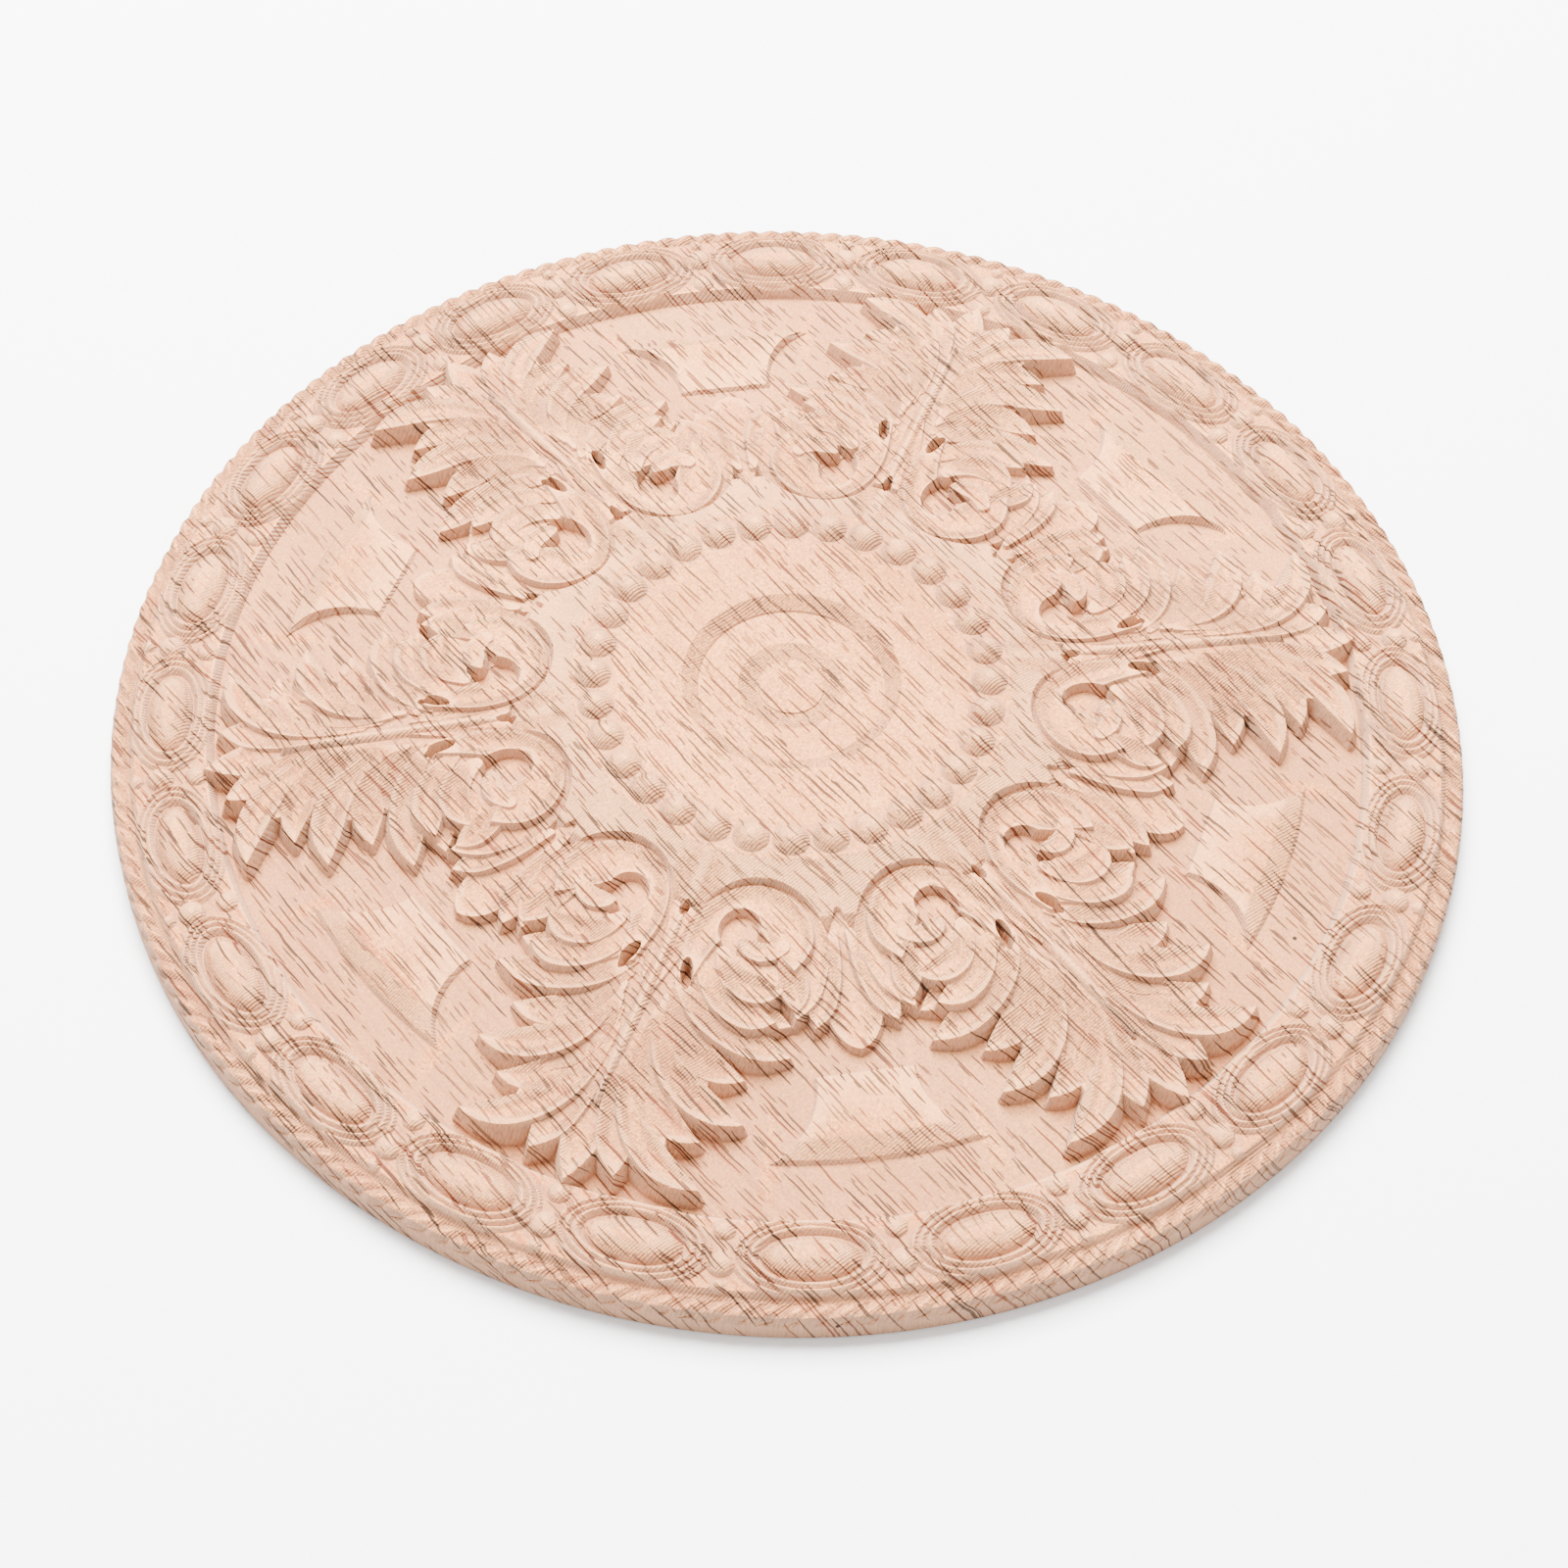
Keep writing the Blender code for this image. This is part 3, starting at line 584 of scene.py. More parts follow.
@dataclass(frozen=True)
class Wedge:
    """Half of a repeated sector: a fine grid of angle and radius, thinned where the surface is plain."""

    span: float
    inner: float
    outer: float
    columns: int
    rows: int
    faces: int
    snap: float = 0.15
    # blur and blur_height set the reach and strength of the tone, which gives the painted shade and
    # highlight.
    blur: float = 7.0
    blur_height: float = 0.4

    def carved(self, height: Height) -> Patch:
        """Samples a height on the grid and thins it to about the wanted number of faces.

        Args:
            height: Gives the height for arrays of x aside and y outwards.

        Returns:
            The thinned patch, with its rim set exactly on its two radial planes and its two circles.
        """
        angle, radius = np.meshgrid(np.linspace(0, self.span, self.columns),
                                    np.linspace(self.inner, self.outer, self.rows))
        x = (radius * np.sin(angle)).ravel()
        y = (radius * np.cos(angle)).ravel()
        z = height(x, y)
        triangles = grid_triangles(self.rows, self.columns, False)[:, ::-1]
        thin = self.thinned(Patch(np.stack([x, y, z], axis=1), triangles, 0 * z))
        thin.tone = self.tone_at(thin.points, z.reshape(self.rows, self.columns))
        return self.trimmed(thin)

    def tone_at(self, points: Array, z: Array) -> Array:
        """Works out how far each point stands proud of the surface round it.

        The surface is blurred with a bell curve along rows and columns. The tone is the height less the
        blurred height, over blur_height, held between -1 and 1 and read at the nearest grid point. The wood
        paints shade where the tone is low and a highlight where it is high.

        Args:
            points: The thinned points.
            z: The grid's heights.

        Returns:
            One tone a point.
        """
        def blurring(count: int) -> Array:
            """Returns a matrix that blurs a row of heights."""
            apart = np.subtract.outer(np.arange(count), np.arange(count))
            weight = np.exp(-0.5 * (apart / self.blur) ** 2)
            return weight / weight.sum(axis=1, keepdims=True)

        proud = (z - blurring(self.rows) @ z @ blurring(self.columns).T) / self.blur_height
        radius = np.hypot(points[:, 0], points[:, 1])
        row = (radius - self.inner) / (self.outer - self.inner) * (self.rows - 1)
        column = np.arctan2(points[:, 0], points[:, 1]) / self.span * (self.columns - 1)
        row = np.clip(np.rint(row).astype(int), 0, self.rows - 1)
        column = np.clip(np.rint(column).astype(int), 0, self.columns - 1)
        return np.clip(proud[row, column], -1, 1)

    def thinned(self, fine: Patch) -> Patch:
        """Collapses the edges that the surface needs least, with a Decimate modifier on a passing mesh."""
        mesh = bpy.data.meshes.new("fine")
        fill_mesh(mesh, fine)
        holder = added("fine", mesh)
        thin = holder.modifiers.new("thin", "DECIMATE")
        thin.ratio = self.faces / len(fine.triangles)
        found = holder.evaluated_get(bpy.context.evaluated_depsgraph_get()).to_mesh()
        points = np.empty(len(found.vertices) * 3)
        found.vertices.foreach_get("co", points)
        found.calc_loop_triangles()
        triangles = np.empty(len(found.loop_triangles) * 3, int)
        found.loop_triangles.foreach_get("vertices", triangles)
        bpy.data.objects.remove(holder)
        bpy.data.meshes.remove(mesh)
        points = points.reshape(-1, 3) / MM
        return Patch(points, triangles.reshape(-1, 3), np.zeros(len(points)))

    def trimmed(self, patch: Patch) -> Patch:
        """Sets the rim's points exactly on the planes at both ends of the span and on both circles.

        A triangle with all points on one of the planes would meet its own mirror image, so it is left out.
        """
        sides = np.sort(np.vstack([patch.triangles[:, pair] for pair in ((0, 1), (1, 2), (2, 0))]), axis=1)
        edges, uses = np.unique(sides, axis=0, return_counts=True)
        rim = np.unique(edges[uses == 1])
        x, y, z = patch.points[rim].T
        radius = np.hypot(x, y)
        angle = np.arctan2(x, y)
        angle = np.where(np.abs(x) < self.snap, 0.0, angle)
        angle = np.where(np.abs(angle - self.span) * radius < self.snap, self.span, angle)
        radius = np.where(np.abs(radius - self.inner) < self.snap, self.inner, radius)
        radius = np.where(np.abs(radius - self.outer) < self.snap, self.outer, radius)
        patch.points[rim] = np.stack([radius * np.sin(angle), radius * np.cos(angle), z], axis=1)
        x, y = patch.points[:, 0], patch.points[:, 1]
        off_planes = np.abs(np.stack([x, x * math.cos(self.span) - y * math.sin(self.span)]))
        upright = (off_planes[:, patch.triangles] < TOUCHING).all(axis=2).any(axis=0)
        patch.triangles = patch.triangles[~upright]
        return patch


def fill_mesh(mesh: bpy.types.Mesh, patch: Patch) -> None:
    """Puts a patch's points and triangles into a mesh, in metres."""
    count = len(patch.triangles)
    mesh.vertices.add(len(patch.points))
    mesh.vertices.foreach_set("co", (patch.points * MM).ravel())
    mesh.loops.add(count * 3)
    mesh.loops.foreach_set("vertex_index", patch.triangles.ravel().astype(np.int32))
    mesh.polygons.add(count)
    mesh.polygons.foreach_set("loop_start", np.arange(0, count * 3, 3, dtype=np.int32))
    mesh.update(calc_edges=True)
    mesh.attributes.new(TONE, "FLOAT", "POINT").data.foreach_set("value", patch.tone.astype(np.float32))


@dataclass
class Rosette:
    """The whole carved rosette as one closed piece."""

    sprays: int = 6
    ground: Ground = Ground()
    spray: Spray = Spray()
    border: Border = Border()
    dish: Dish = Dish()
    rope: Rope = Rope()
    carving_start: float = 48.6
    sector_grid: tuple[int, int] = (300, 430)
    sector_faces: int = 13200
    bead_grid: tuple[int, int] = (30, 66)
    bead_faces: int = 110
    bead_snap: float = 0.12
    dish_columns: int = 192
    weld: float = 0.002
    crease: float = math.radians(38)

    def carving(self, x: Array, y: Array) -> Array:
        """Returns the height of the carved field and border in half a spray's frame."""
        z = self.spray.carve(self.ground.height(x, y), x, y)
        return self.border.join(z, x, y)

    def half_sector(self) -> Patch:
        """Returns the carved half sector between the bead ring and the rope."""
        wedge = Wedge(math.pi / self.sprays, self.carving_start, self.border.outer_radius,
                      *self.sector_grid, self.sector_faces)
        return wedge.carved(self.carving)

    def bead_ring(self) -> Patch:
        """Returns the ring of beads."""
        dish = self.dish
        wedge = Wedge(math.pi / dish.beads, dish.inner, dish.outer, *self.bead_grid, self.bead_faces,
                      self.bead_snap)
        return wedge.carved(dish.bead_height).repeated(dish.beads)

    def turned_middle(self) -> Patch:
        """Returns the turned dish: its profile swept round, with one point in the middle."""
        radii, heights = np.array(self.dish.profile[1:]).T[:, :, None]
        angle = (np.arange(self.dish_columns) + 0.5) * 2 * math.pi / self.dish_columns - math.pi
        points = swept(radii, heights, angle).reshape(-1, 3)
        points = np.vstack([points, [[0.0, 0.0, self.dish.profile[0][1]]]])
        first = np.arange(self.dish_columns)
        fan = np.stack([np.full_like(first, len(points) - 1), first, np.roll(first, -1)], 1)
        triangles = np.vstack([grid_triangles(len(radii), self.dish_columns, True), fan])
        return Patch(points, triangles, np.zeros(len(points)))

    def edge(self) -> Patch:
        """Returns the rope, the side and the flat back, which closes the solid."""
        rope = self.rope
        grid, tone = rope.surface()
        rows, columns = grid.shape[:2]
        twist = Patch(grid.reshape(-1, 3), grid_triangles(rows, columns, True), tone.ravel())
        count = rope.side_columns
        angle = np.arange(count) * 2 * math.pi / count
        levels = ((rope.outer, rope.side_z - rope.side_drop), (rope.outer, rope.chamfer),
                  (rope.outer - rope.chamfer, 0.0))
        side = swept(*np.array(levels).T[:, :, None], angle).reshape(-1, 3)
        side = np.vstack([side, [[0.0, 0.0, 0.0]]])
        last = np.arange(count) + 2 * count
        back = np.stack([np.full_like(last, 3 * count), np.roll(last, -1), last], 1)
        walls = Patch(side, np.vstack([grid_triangles(3, count, True), back]), np.zeros(len(side)))
        return join_patches([twist, walls])

    def patch(self) -> Patch:
        """Puts all parts together and closes the strips between them."""
        sectors = self.half_sector().repeated(self.sprays)
        beads = self.bead_ring()
        pieces = [sectors, beads, self.turned_middle(), self.edge()]
        whole = join_patches(pieces)
        beads_start, middle_start, edge_start = np.cumsum([len(part.points) for part in pieces[:-1]])
        columns = self.rope.strands * self.rope.samples
        rope_points = self.rope.rows * columns
        points = whole.points

        def row_of(start: int, count: int) -> Array:
            """Returns a grid row's indices in order of their angle."""
            return in_order(points, np.arange(start, start + count))

        rim = len(self.dish.profile) - 2
        strips = [
            (row_of(edge_start, columns), sectors.ring(self.border.outer_radius)),
            (sectors.ring(self.carving_start), beads.ring(self.dish.outer) + beads_start),
            (beads.ring(self.dish.inner) + beads_start,
             row_of(middle_start + rim * self.dish_columns, self.dish_columns)),
            (row_of(edge_start + rope_points, self.rope.side_columns),
             row_of(edge_start + rope_points - columns, columns)),
        ]
        zipped = [zip_rings(points, inner, outer) for outer, inner in strips]
        return Patch(points, np.vstack([whole.triangles] + zipped), whole.tone)

    def build(self) -> bpy.types.Object:
        """Makes the finished object: welded, closed, and smooth between its crisp edges."""
        mesh = bpy.data.meshes.new("carved_rosette")
        fill_mesh(mesh, self.patch())
        work = bmesh.new()
        work.from_mesh(mesh)
        bmesh.ops.remove_doubles(work, verts=work.verts, dist=self.weld * MM)
        bmesh.ops.recalc_face_normals(work, faces=work.faces)
        open_edges = sum(not edge.is_manifold for edge in work.edges)
        work.to_mesh(mesh)
        work.free()
        mesh.shade_smooth()
        mesh.set_sharp_from_angle(angle=self.crease)
        piece = added("carved_rosette", mesh)
        piece.modifiers.new("even_normals", "WEIGHTED_NORMAL").keep_sharp = True
        log.info("rosette: %d triangles, %d open edges", len(mesh.polygons), open_edges)
        return piece


class Maths(Enum):
    """Operations of a Math node that shader expressions use."""

    ADD = "ADD"
    SUBTRACT = "SUBTRACT"
    MULTIPLY = "MULTIPLY"
    DIVIDE = "DIVIDE"
    POWER = "POWER"
    SINE = "SINE"
    ABSOLUTE = "ABSOLUTE"
    MAXIMUM = "MAXIMUM"
    SQRT = "SQRT"


@dataclass
class Shade:
    """A node tree in which expressions on values become nodes."""

    tree: bpy.types.NodeTree

    def node(self, kind: str, inputs: dict[str | int, object], **settings: object) -> bpy.types.Node:
        """Adds one node.

        Args:
            kind: The node's type, such as ShaderNodeMath.
            inputs: Values or links by the sockets' names or numbers.
            settings: Properties, which are set first.

        Returns:
            The node.
        """
        made = self.tree.nodes.new(kind)
        for name, value in settings.items():
            setattr(made, name, value)
        for name, value in inputs.items():
            socket = made.inputs[name]
            if isinstance(value, Value):
                self.tree.links.new(value.socket, socket)
            elif isinstance(value, Socket):
                self.tree.links.new(value, socket)
            else:
                socket.default_value = value
        return made

    def mix(self, share: Value, first: object, second: object) -> Socket:
        """Mixes two colours and returns the mixed colour's socket."""
        return self.node("ShaderNodeMix", {0: share, 6: first, 7: second}, data_type="RGBA").outputs[2]

    def vector(self, x: Value, y: Value, z: Value | float = 0.0) -> Socket:
        """Puts three values together as a vector."""
        return self.node("ShaderNodeCombineXYZ", {"X": x, "Y": y, "Z": z}).outputs[0]

    def parts(self, vector: Socket) -> Place:
        """Takes a vector or a colour apart into its three values."""
        made = self.node("ShaderNodeSeparateXYZ", {0: vector})
        return tuple(Value(self, made.outputs[k]) for k in range(3))


def operator(kind: Maths, swapped: bool = False) -> Callable[..., Value]:
    """Returns a method of Value that adds a Math node, with its operands swapped if asked."""
    def method(value: Value, *others: Value | float) -> Value:
        """Returns the node's result."""
        operands = (*others, value) if swapped else (value, *others)
        made = value.shade.node("ShaderNodeMath", dict(enumerate(operands)), operation=kind.value)
        return Value(value.shade, made.outputs[0])

    return method


@dataclass
class Value:
    """A number's socket with the usual operators."""

    shade: Shade
    socket: Socket

    __add__ = operator(Maths.ADD)
    __sub__ = operator(Maths.SUBTRACT)
    __rsub__ = operator(Maths.SUBTRACT, swapped=True)
    __mul__ = operator(Maths.MULTIPLY)
    __truediv__ = operator(Maths.DIVIDE)
    __pow__ = operator(Maths.POWER)
    __abs__ = operator(Maths.ABSOLUTE)
    sine = operator(Maths.SINE)
    root = operator(Maths.SQRT)
    most = operator(Maths.MAXIMUM)

    def rise(self, low: float, high: float, start: float = 0.0, end: float = 1.0) -> Value:
        """Maps the value smoothly from start to end as it goes from low to high."""
        inputs = {"Value": self, "From Min": low, "From Max": high, "To Min": start, "To Max": end}
        made = self.shade.node("ShaderNodeMapRange", inputs, interpolation_type="SMOOTHSTEP")
        return Value(self.shade, made.outputs["Result"])


Place = tuple[Value, Value, Value]


@dataclass(frozen=True)
class Pores:
    """One layer of open pores: short dark dashes along the grain, one in each cell of a jittered pattern."""

    pitch_aside: float
    pitch_along: float
    half_width: float
    half_length: float
    share: float
    seed: float
    shortest: float = 0.2
    faintest: float = 0.75
    rim: float = 0.3

    def mask(self, grain: Place) -> Value:
        """Works out where pores are.

        In each cell a random point is the pore's middle. The mask is 1 on its long axis and falls to 0 at the
        ellipse (dx / half_width)^2 + (dy / length)^2 = 1, and only a share of the cells has a pore.

        Args:
            grain: Places across and along the grain, in millimetres.

        Returns:
            The mask, from 0 to 1.
        """
        shade = grain[0].shade
        across = grain[0] / self.pitch_aside + self.seed
        along = grain[1] / self.pitch_along + self.seed
        cell = shade.node("ShaderNodeTexVoronoi", {"Vector": shade.vector(across, along), "Scale": 1.0},
                          voronoi_dimensions="2D")
        x, y, _ = shade.parts(cell.outputs["Position"])
        chance, size, _ = shade.parts(cell.outputs["Color"])
        length = size * (self.half_length * (1 - self.shortest)) + self.half_length * self.shortest
        dx = (across - x) * (self.pitch_aside / self.half_width)
        dy = (along - y) * self.pitch_along / length
        inside = 1.0 - (dx * dx + dy * dy)
        there = chance.rise(1 - self.share - 0.01, 1 - self.share)
        return inside.rise(0.0, self.rim) * there * (size * (1 - self.faintest) + self.faintest)


@dataclass(frozen=True)
class Cloud:
    """A soft random pattern with a scale for each axis, of which the part between two values counts."""

    scales: Triple
    low: float = 0.0
    high: float = 1.0
    detail: float = 2.0
    roughness: float = 0.5
    shift: float = 0.0

    def value(self, place: Place) -> Value:
        """Returns the pattern itself, from 0 to 1."""
        shade = place[0].shade
        x, y, z = (axis * scale for axis, scale in zip(place, self.scales))
        made = shade.node("ShaderNodeTexNoise", {"Vector": shade.vector(x + self.shift, y, z), "Scale": 1.0,
                                                 "Detail": self.detail, "Roughness": self.roughness})
        return Value(shade, made.outputs["Fac"])

    def mask(self, place: Place, start: float = 0.0) -> Value:
        """Returns start where the pattern is under low and 1 where it is over high, smooth between."""
        return self.value(place).rise(self.low, self.high, start)


@dataclass(frozen=True)
class RawWood:
    """Raw, unsanded pale hardwood: pinkish ground, reddish streaks, dark pores, grit and cutter lines."""

    pale: Colour = (0.80, 0.315, 0.101, 1.0)
    warm: Colour = (0.60, 0.203, 0.058, 1.0)
    pink: Colour = (0.68, 0.248, 0.087, 1.0)
    streak: Colour = (0.43, 0.10, 0.022, 1.0)
    fleck: Colour = (0.58, 0.18, 0.025, 1.0)
    pore: Colour = (0.028, 0.014, 0.008, 1.0)
    red_pore: Colour = (0.12, 0.028, 0.012, 1.0)
    # Colour of rough cut slopes and grit, and painted shade in hollows and creases.
    cut_and_painted_shade: Colour = (0.37, 0.172, 0.088, 1.0)
    # Dark colour of specks and wall ribs, and painted shade in the cutter's grooves.
    line: Colour = (0.15, 0.072, 0.04, 1.0)
    wall: Colour = (0.66, 0.40, 0.25, 1.0)
    # Colour of the outer side: partly its darker rough grain and partly painted shade.
    side: Colour = (0.25, 0.122, 0.066, 1.0)
    # Colour of pale grit, and the painted highlight on proud edges and crests.
    edge: Colour = (0.84, 0.42, 0.195, 1.0)
    roughness: float = 0.8
    gloss: float = 0.2
    grain_lean: float = 0.5
    wander: Cloud = Cloud((0.03, 0.012, 0.05))
    wander_width: float = 7.0
    ripple: Cloud = Cloud((0.25, 0.12, 0.2))
    ripple_width: float = 0.9
    bands: Cloud = Cloud((0.04, 0.005, 0.03), 0.36, 0.66, 3.0)
    warm_side: Point = (-55.0, -110.0)
    streaky_side: Point = (-55.0, -80.0)
    blush: Cloud = Cloud((0.13, 0.014, 0.06), 0.45, 0.72)
    fibre: Cloud = Cloud((3.2, 0.22, 1.5), 0.46, 0.76, 4.0, 0.65)
    streaks: Cloud = Cloud((0.75, 0.02, 0.25), 0.5, 0.62, 3.0, 0.6)
    flecks: Cloud = Cloud((1.1, 0.16, 0.8), 0.61, 0.73, shift=40.0)
    grit: Cloud = Cloud((1.7, 1.4, 1.7), 0.46, 0.62, 3.0, 0.8)
    pale_grit: Point = (0.48, 0.32)
    dust: Cloud = Cloud((2.4, 1.5, 2.4), 0.51, 0.66, 2.0, 0.7)
    ribs: Cloud = Cloud((2.6, 2.6, 0.12), 0.4, 0.7)
    redness: Cloud = Cloud((0.35, 0.05, 0.0), 0.45, 0.62)
    pore_patches: Cloud = Cloud((0.05, 0.01, 0.0), 0.3, 0.5)
    line_pitch: float = 0.62
    line_drift: Cloud = Cloud((0.3, 0.3, 0.3))
    line_patches: Cloud = Cloud((0.09, 0.09, 0.1), 0.35, 0.62)
    slope_up: Point = (0.9935, 0.972)
    steep_up: Point = (0.86, 0.3)
    # Tones over which the painted shade in hollows sets in.
    painted_shade_tone: Point = (-0.3, -0.98)
    # Tones over which the painted highlight on proud places sets in.
    painted_highlight_tone: Point = (0.35, 0.95)
    side_radius: Point = (148.9, 149.3)
    specks: tuple[Triple, ...] = ((47.0, -112.86, 6.7), (-87.42, -121.9, 4.9))
    speck_radius: Point = (0.6, 0.36)
    layers: tuple[Pores, ...] = (Pores(1.8, 13.0, 0.26, 7.0, 0.8, 0.0), Pores(1.6, 7.0, 0.22, 3.0, 0.4, 37.3),
                                 Pores(3.1, 19.0, 0.27, 9.5, 0.5, 71.9))

    def material(self) -> bpy.types.Material:
        """Builds the wood on Object coordinates, with the grain along +Y.

        Coats of colour are laid one over another, each with its share, and the pores and specks come last.
        Some coats are painted light: painted shade in hollows, in the cutter's grooves and on the outer side,
        and a painted highlight on proud places.

        Returns:
            The material.
        """
        made = bpy.data.materials.new("raw_pale_wood")
        made.use_nodes = True
        made.node_tree.nodes.clear()
        shade = Shade(made.node_tree)
        metres = shade.parts(shade.node("ShaderNodeTexCoord", {}).outputs["Object"])
        place = x, y, z = tuple(axis * (1 / MM) for axis in metres)
        _, outwards, up = shade.parts(shade.node("ShaderNodeNewGeometry", {}).outputs["Normal"])
        facing = abs(outwards)
        # Each point's proudness, which drives the painted shade in hollows and the painted highlight on proud
        # places.
        tone = Value(shade, shade.node("ShaderNodeAttribute", {}, attribute_name=TONE).outputs["Fac"])
        wander = (self.wander.value(place) - 0.5) * self.wander_width
        ripple = (self.ripple.value(place) - 0.5) * self.ripple_width
        grain = (x + z * self.grain_lean + wander + ripple, y, z)
        slope = up.rise(*self.slope_up)
        steep = up.rise(*self.steep_up)
        lines = self.lines(place)
        grit = self.grit.value(place)
        pore = shade.mix(self.redness.mask(grain), self.pore, self.red_pore)
        coats = [
            (slope * 0.2, self.cut_and_painted_shade),
            (grit.rise(self.grit.low, self.grit.high) * (slope * 0.25 + 0.65), self.cut_and_painted_shade),
            (grit.rise(*self.pale_grit) * 0.75, self.edge),
            (self.dust.mask(place) * (slope * 0.15 + 0.62), self.line),
            # The cutter's passes, darkened as painted shade in their grooves.
            (lines * slope * (facing * 0.25 + 0.75), self.line),
            (steep * 0.85, self.wall),
            (self.ribs.mask(place) * steep * 0.35, self.line),
            # Painted shade in hollows, creases and at the feet of walls, where a point lies below what is
            # round it.
            (tone.rise(*self.painted_shade_tone) * 0.5, self.cut_and_painted_shade),
            # Painted highlight on proud edges and crests.
            (tone.rise(*self.painted_highlight_tone) * 0.4, self.edge),
            # The outer side, darker partly as rough side grain and partly as painted shade.
            ((x * x + y * y).root().rise(*self.side_radius) * steep * 0.75, self.side),
            (self.pores(grain) * 0.96, pore),
        ] + [(self.speck(place, middle), self.pore) for middle in self.specks]
        colour = self.ground(grain)
        for share, coat in coats:
            colour = shade.mix(share, colour, coat)
        height = grit * (slope * 0.24 + 0.18) - lines * (slope * (facing * 0.2 + 0.08))
        bump = shade.node("ShaderNodeBump", {"Strength": 1.0, "Distance": MM, "Height": height})
        surface = shade.node("ShaderNodeBsdfPrincipled",
                             {"Base Color": colour, "Roughness": self.roughness, "Metallic": 0.0,
                              "Specular IOR Level": self.gloss, "Normal": bump.outputs[0]})
        shade.node("ShaderNodeOutputMaterial", {"Surface": surface.outputs[0]})
        return made

    def ground(self, grain: Place) -> Socket:
        """Returns the wood's colour under its cuts and pores, with more streaks and a warmer tone at -X."""
        x = grain[0]
        streaky = x.rise(*self.streaky_side, 0.3, 0.95)
        colour = x.shade.mix(self.bands.mask(grain), self.pale, self.warm)
        for share, coat in ((x.rise(*self.warm_side, 0.0, 0.5), self.warm),
                            (self.blush.mask(grain) * 0.7, self.pink),
                            (self.fibre.mask(grain) * 0.7, self.warm),
                            (self.streaks.mask(grain) * streaky, self.streak),
                            (self.flecks.mask(grain) * 0.55, self.fleck)):
            colour = x.shade.mix(share, colour, coat)
        return colour

    def pores(self, grain: Place) -> Value:
        """Returns all layers' open pores, thinner in some patches than in others."""
        found = self.layers[0].mask(grain)
        for layer in self.layers[1:]:
            found = found.most(layer.mask(grain))
        return found * self.pore_patches.mask(grain, 0.65)

    def lines(self, place: Place) -> Value:
        """Returns the cutter's passes, sin(2 pi y / pitch) made thin, fading in and out in patches."""
        # The passes darken the colour as painted shade in their grooves and also sink the bump as real
        # grooves.
        drift = self.line_drift.value(place) * 1.2
        wave = (place[1] * (2 * math.pi / self.line_pitch) + drift).sine() * 0.5 + 0.5
        return wave ** 2.0 * self.line_patches.mask(place, 0.25)

    def speck(self, place: Place, middle: Triple) -> Value:
        """Returns 1 in a small ball round a dark speck's middle and 0 outside."""
        dx, dy, dz = (axis - at for axis, at in zip(place, middle))
        return (dx * dx + dy * dy + dz * dz).root().rise(*self.speck_radius)


@dataclass(frozen=True)
class Plain:
    """A plain matt finish for the floor."""

    colour: Colour = (1.0, 1.0, 1.0, 1.0)

    def material(self) -> bpy.types.Material:
        """Returns the material."""
        made = bpy.data.materials.new("pale_floor")
        made.use_nodes = True
        shader = made.node_tree.nodes["Principled BSDF"]
        for name, value in (("Base Color", self.colour), ("Roughness", 1.0), ("Specular IOR Level", 0.0)):
            shader.inputs[name].default_value = value
        return made


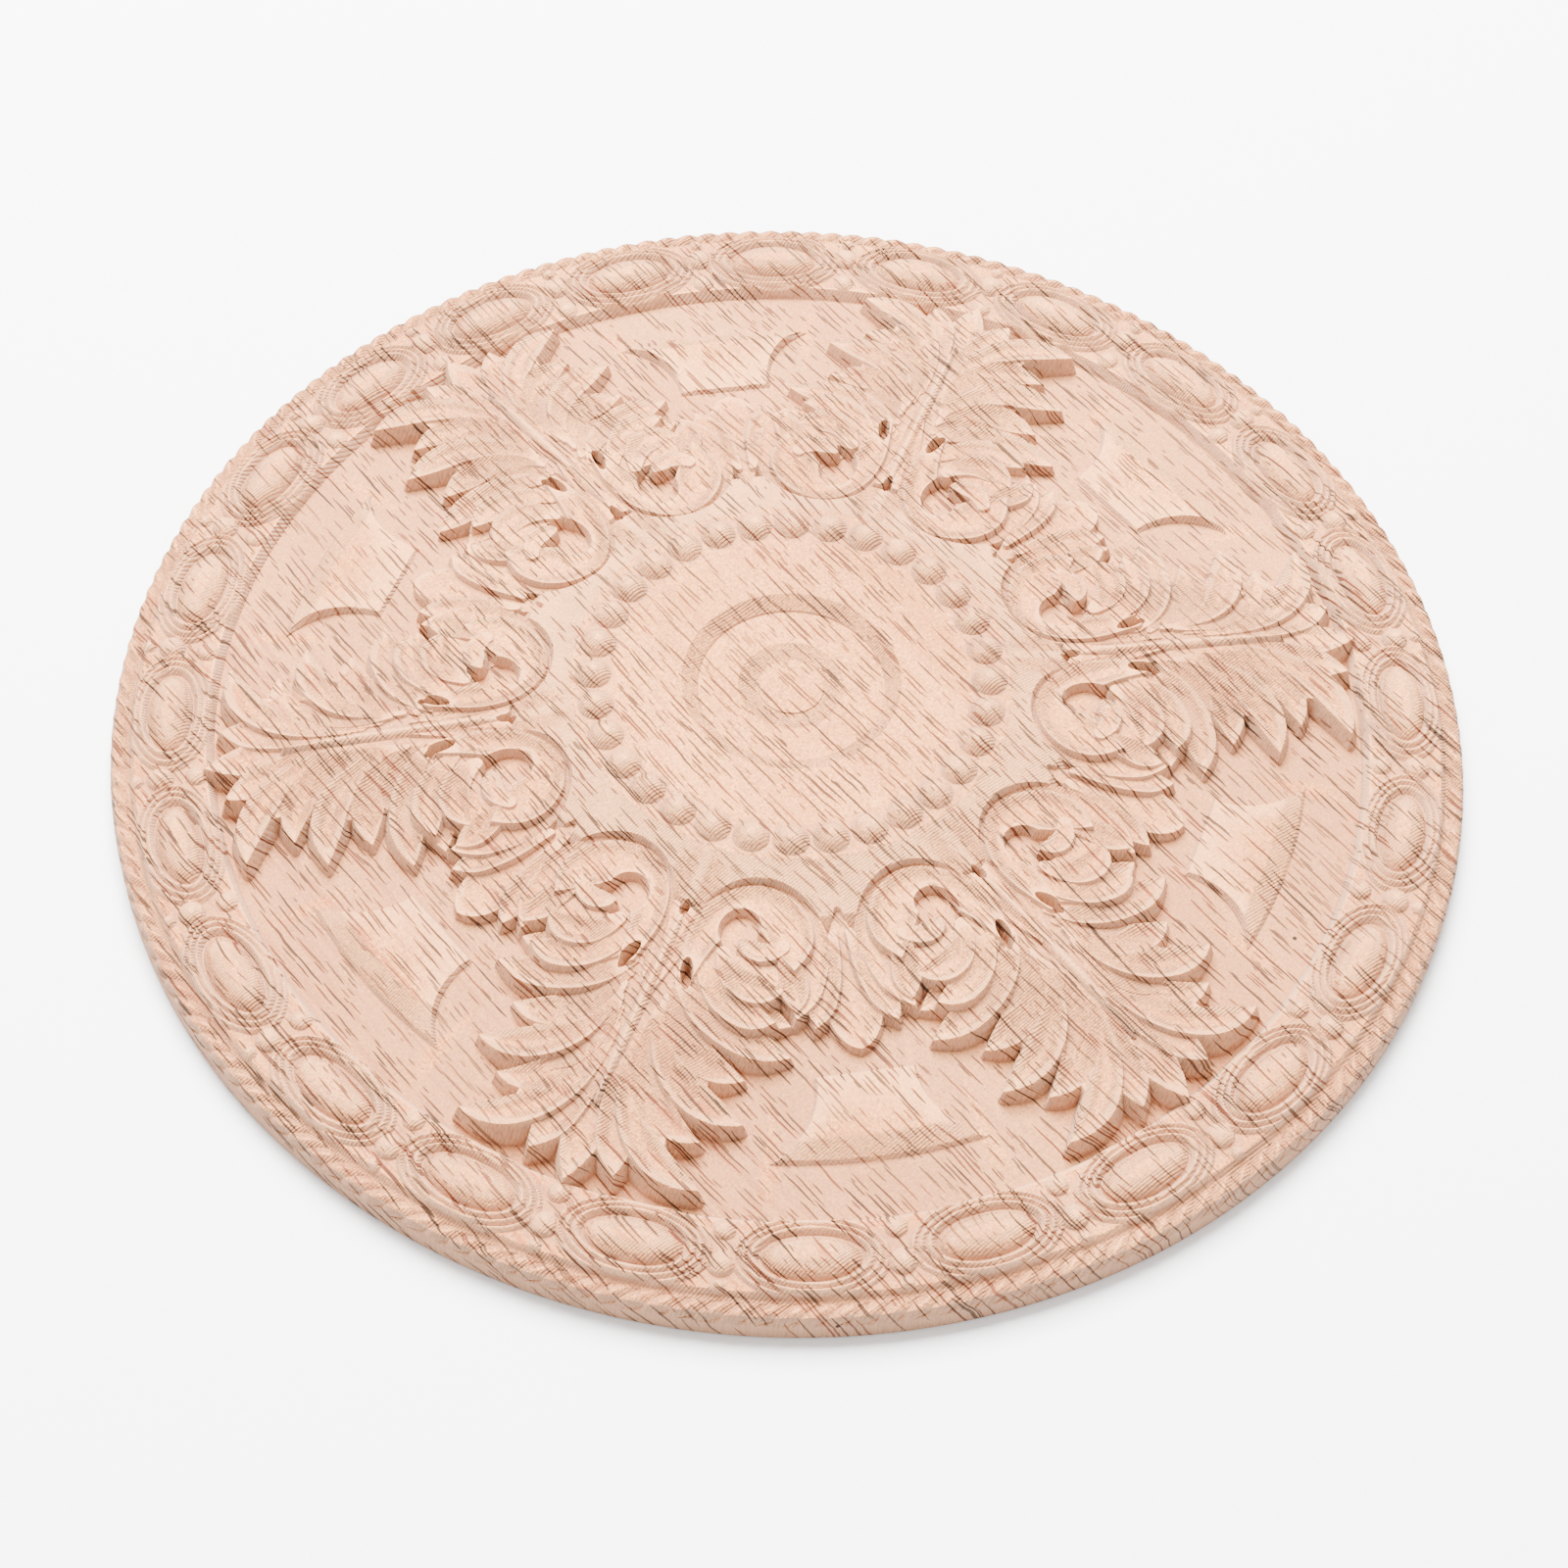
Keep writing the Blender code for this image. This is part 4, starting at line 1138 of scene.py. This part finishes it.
@dataclass
class Studio:
    """The pale floor, the soft light and the camera at the photograph's angle."""

    azimuth: float = math.radians(-131.395)
    elevation: float = math.radians(53.03992)
    distance: float = 0.755174
    aim_height: float = 0.0078
    aim_turn: Triple = (1.232345, 0.044635, 2.635001)
    focal_pixels: float = 3462.34
    image_pixels: float = 1600.0
    sensor: float = 36.0
    floor_half: float = 3.0
    floor_drop: float = 0.0002
    lamp_size: float = 1.0
    lamp_place: Point = (0.75, 1.35)
    lamp_turn: float = math.radians(195)
    lamp_power: float = 214.0
    sky: float = 1.44

    def camera(self) -> None:
        """Places the camera on its bearing, aims it at the disc's middle and turns it by small angles."""
        data = bpy.data.cameras.new("camera")
        data.sensor_width = self.sensor
        data.lens = self.focal_pixels / self.image_pixels * self.sensor
        flat = math.cos(self.elevation)
        way = Vector((flat * math.cos(self.azimuth), flat * math.sin(self.azimuth), math.sin(self.elevation)))
        place = Vector((0, 0, self.aim_height)) + way * self.distance
        pitch, yaw, roll = (math.radians(angle) for angle in self.aim_turn)
        turn = Matrix.Rotation(-pitch, 4, "X") @ Matrix.Rotation(yaw, 4, "Y") @ Matrix.Rotation(roll, 4, "Z")
        camera = added("camera", data)
        aim = way.to_track_quat("Z", "Y").to_matrix().to_4x4()
        camera.matrix_world = Matrix.Translation(place) @ aim @ turn
        bpy.context.scene.camera = camera

    def floor(self) -> None:
        """Lays the floor, just under the rosette's back."""
        half = self.floor_half
        mesh = bpy.data.meshes.new("floor")
        corners = ((-half, -half), (half, -half), (half, half), (-half, half))
        mesh.from_pydata([(x, y, -self.floor_drop) for x, y in corners], [], [(0, 1, 2, 3)])
        mesh.materials.append(Plain().material())
        floor = added("floor", mesh)

    def lights(self) -> None:
        """Hangs one large soft lamp overhead and lights the world evenly."""
        data = bpy.data.lights.new("softbox", "AREA")
        data.size = self.lamp_size
        data.energy = self.lamp_power
        lamp = added("softbox", data)
        bearing = self.azimuth + self.lamp_turn
        away, height = self.lamp_place
        lamp.location = (away * math.cos(bearing), away * math.sin(bearing), height)
        lamp.rotation_euler = Vector(lamp.location).to_track_quat("Z", "Y").to_euler()
        world = bpy.data.worlds.new("world")
        world.use_nodes = True
        back = world.node_tree.nodes["Background"]
        back.inputs["Color"].default_value = (1.0, 1.0, 1.0, 1.0)
        back.inputs["Strength"].default_value = self.sky
        bpy.context.scene.world = world


def main() -> None:
    """Builds the studio and the rosette and reports each."""
    logging.basicConfig(level=logging.INFO, format="%(name)s: %(message)s")
    studio = Studio()
    studio.camera()
    studio.floor()
    studio.lights()
    log.info("studio is set")
    rosette = Rosette().build()
    rosette.data.materials.append(RawWood().material())
    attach(rosette, "root")
    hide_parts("rosette")


if __name__ == "__main__":
    main()
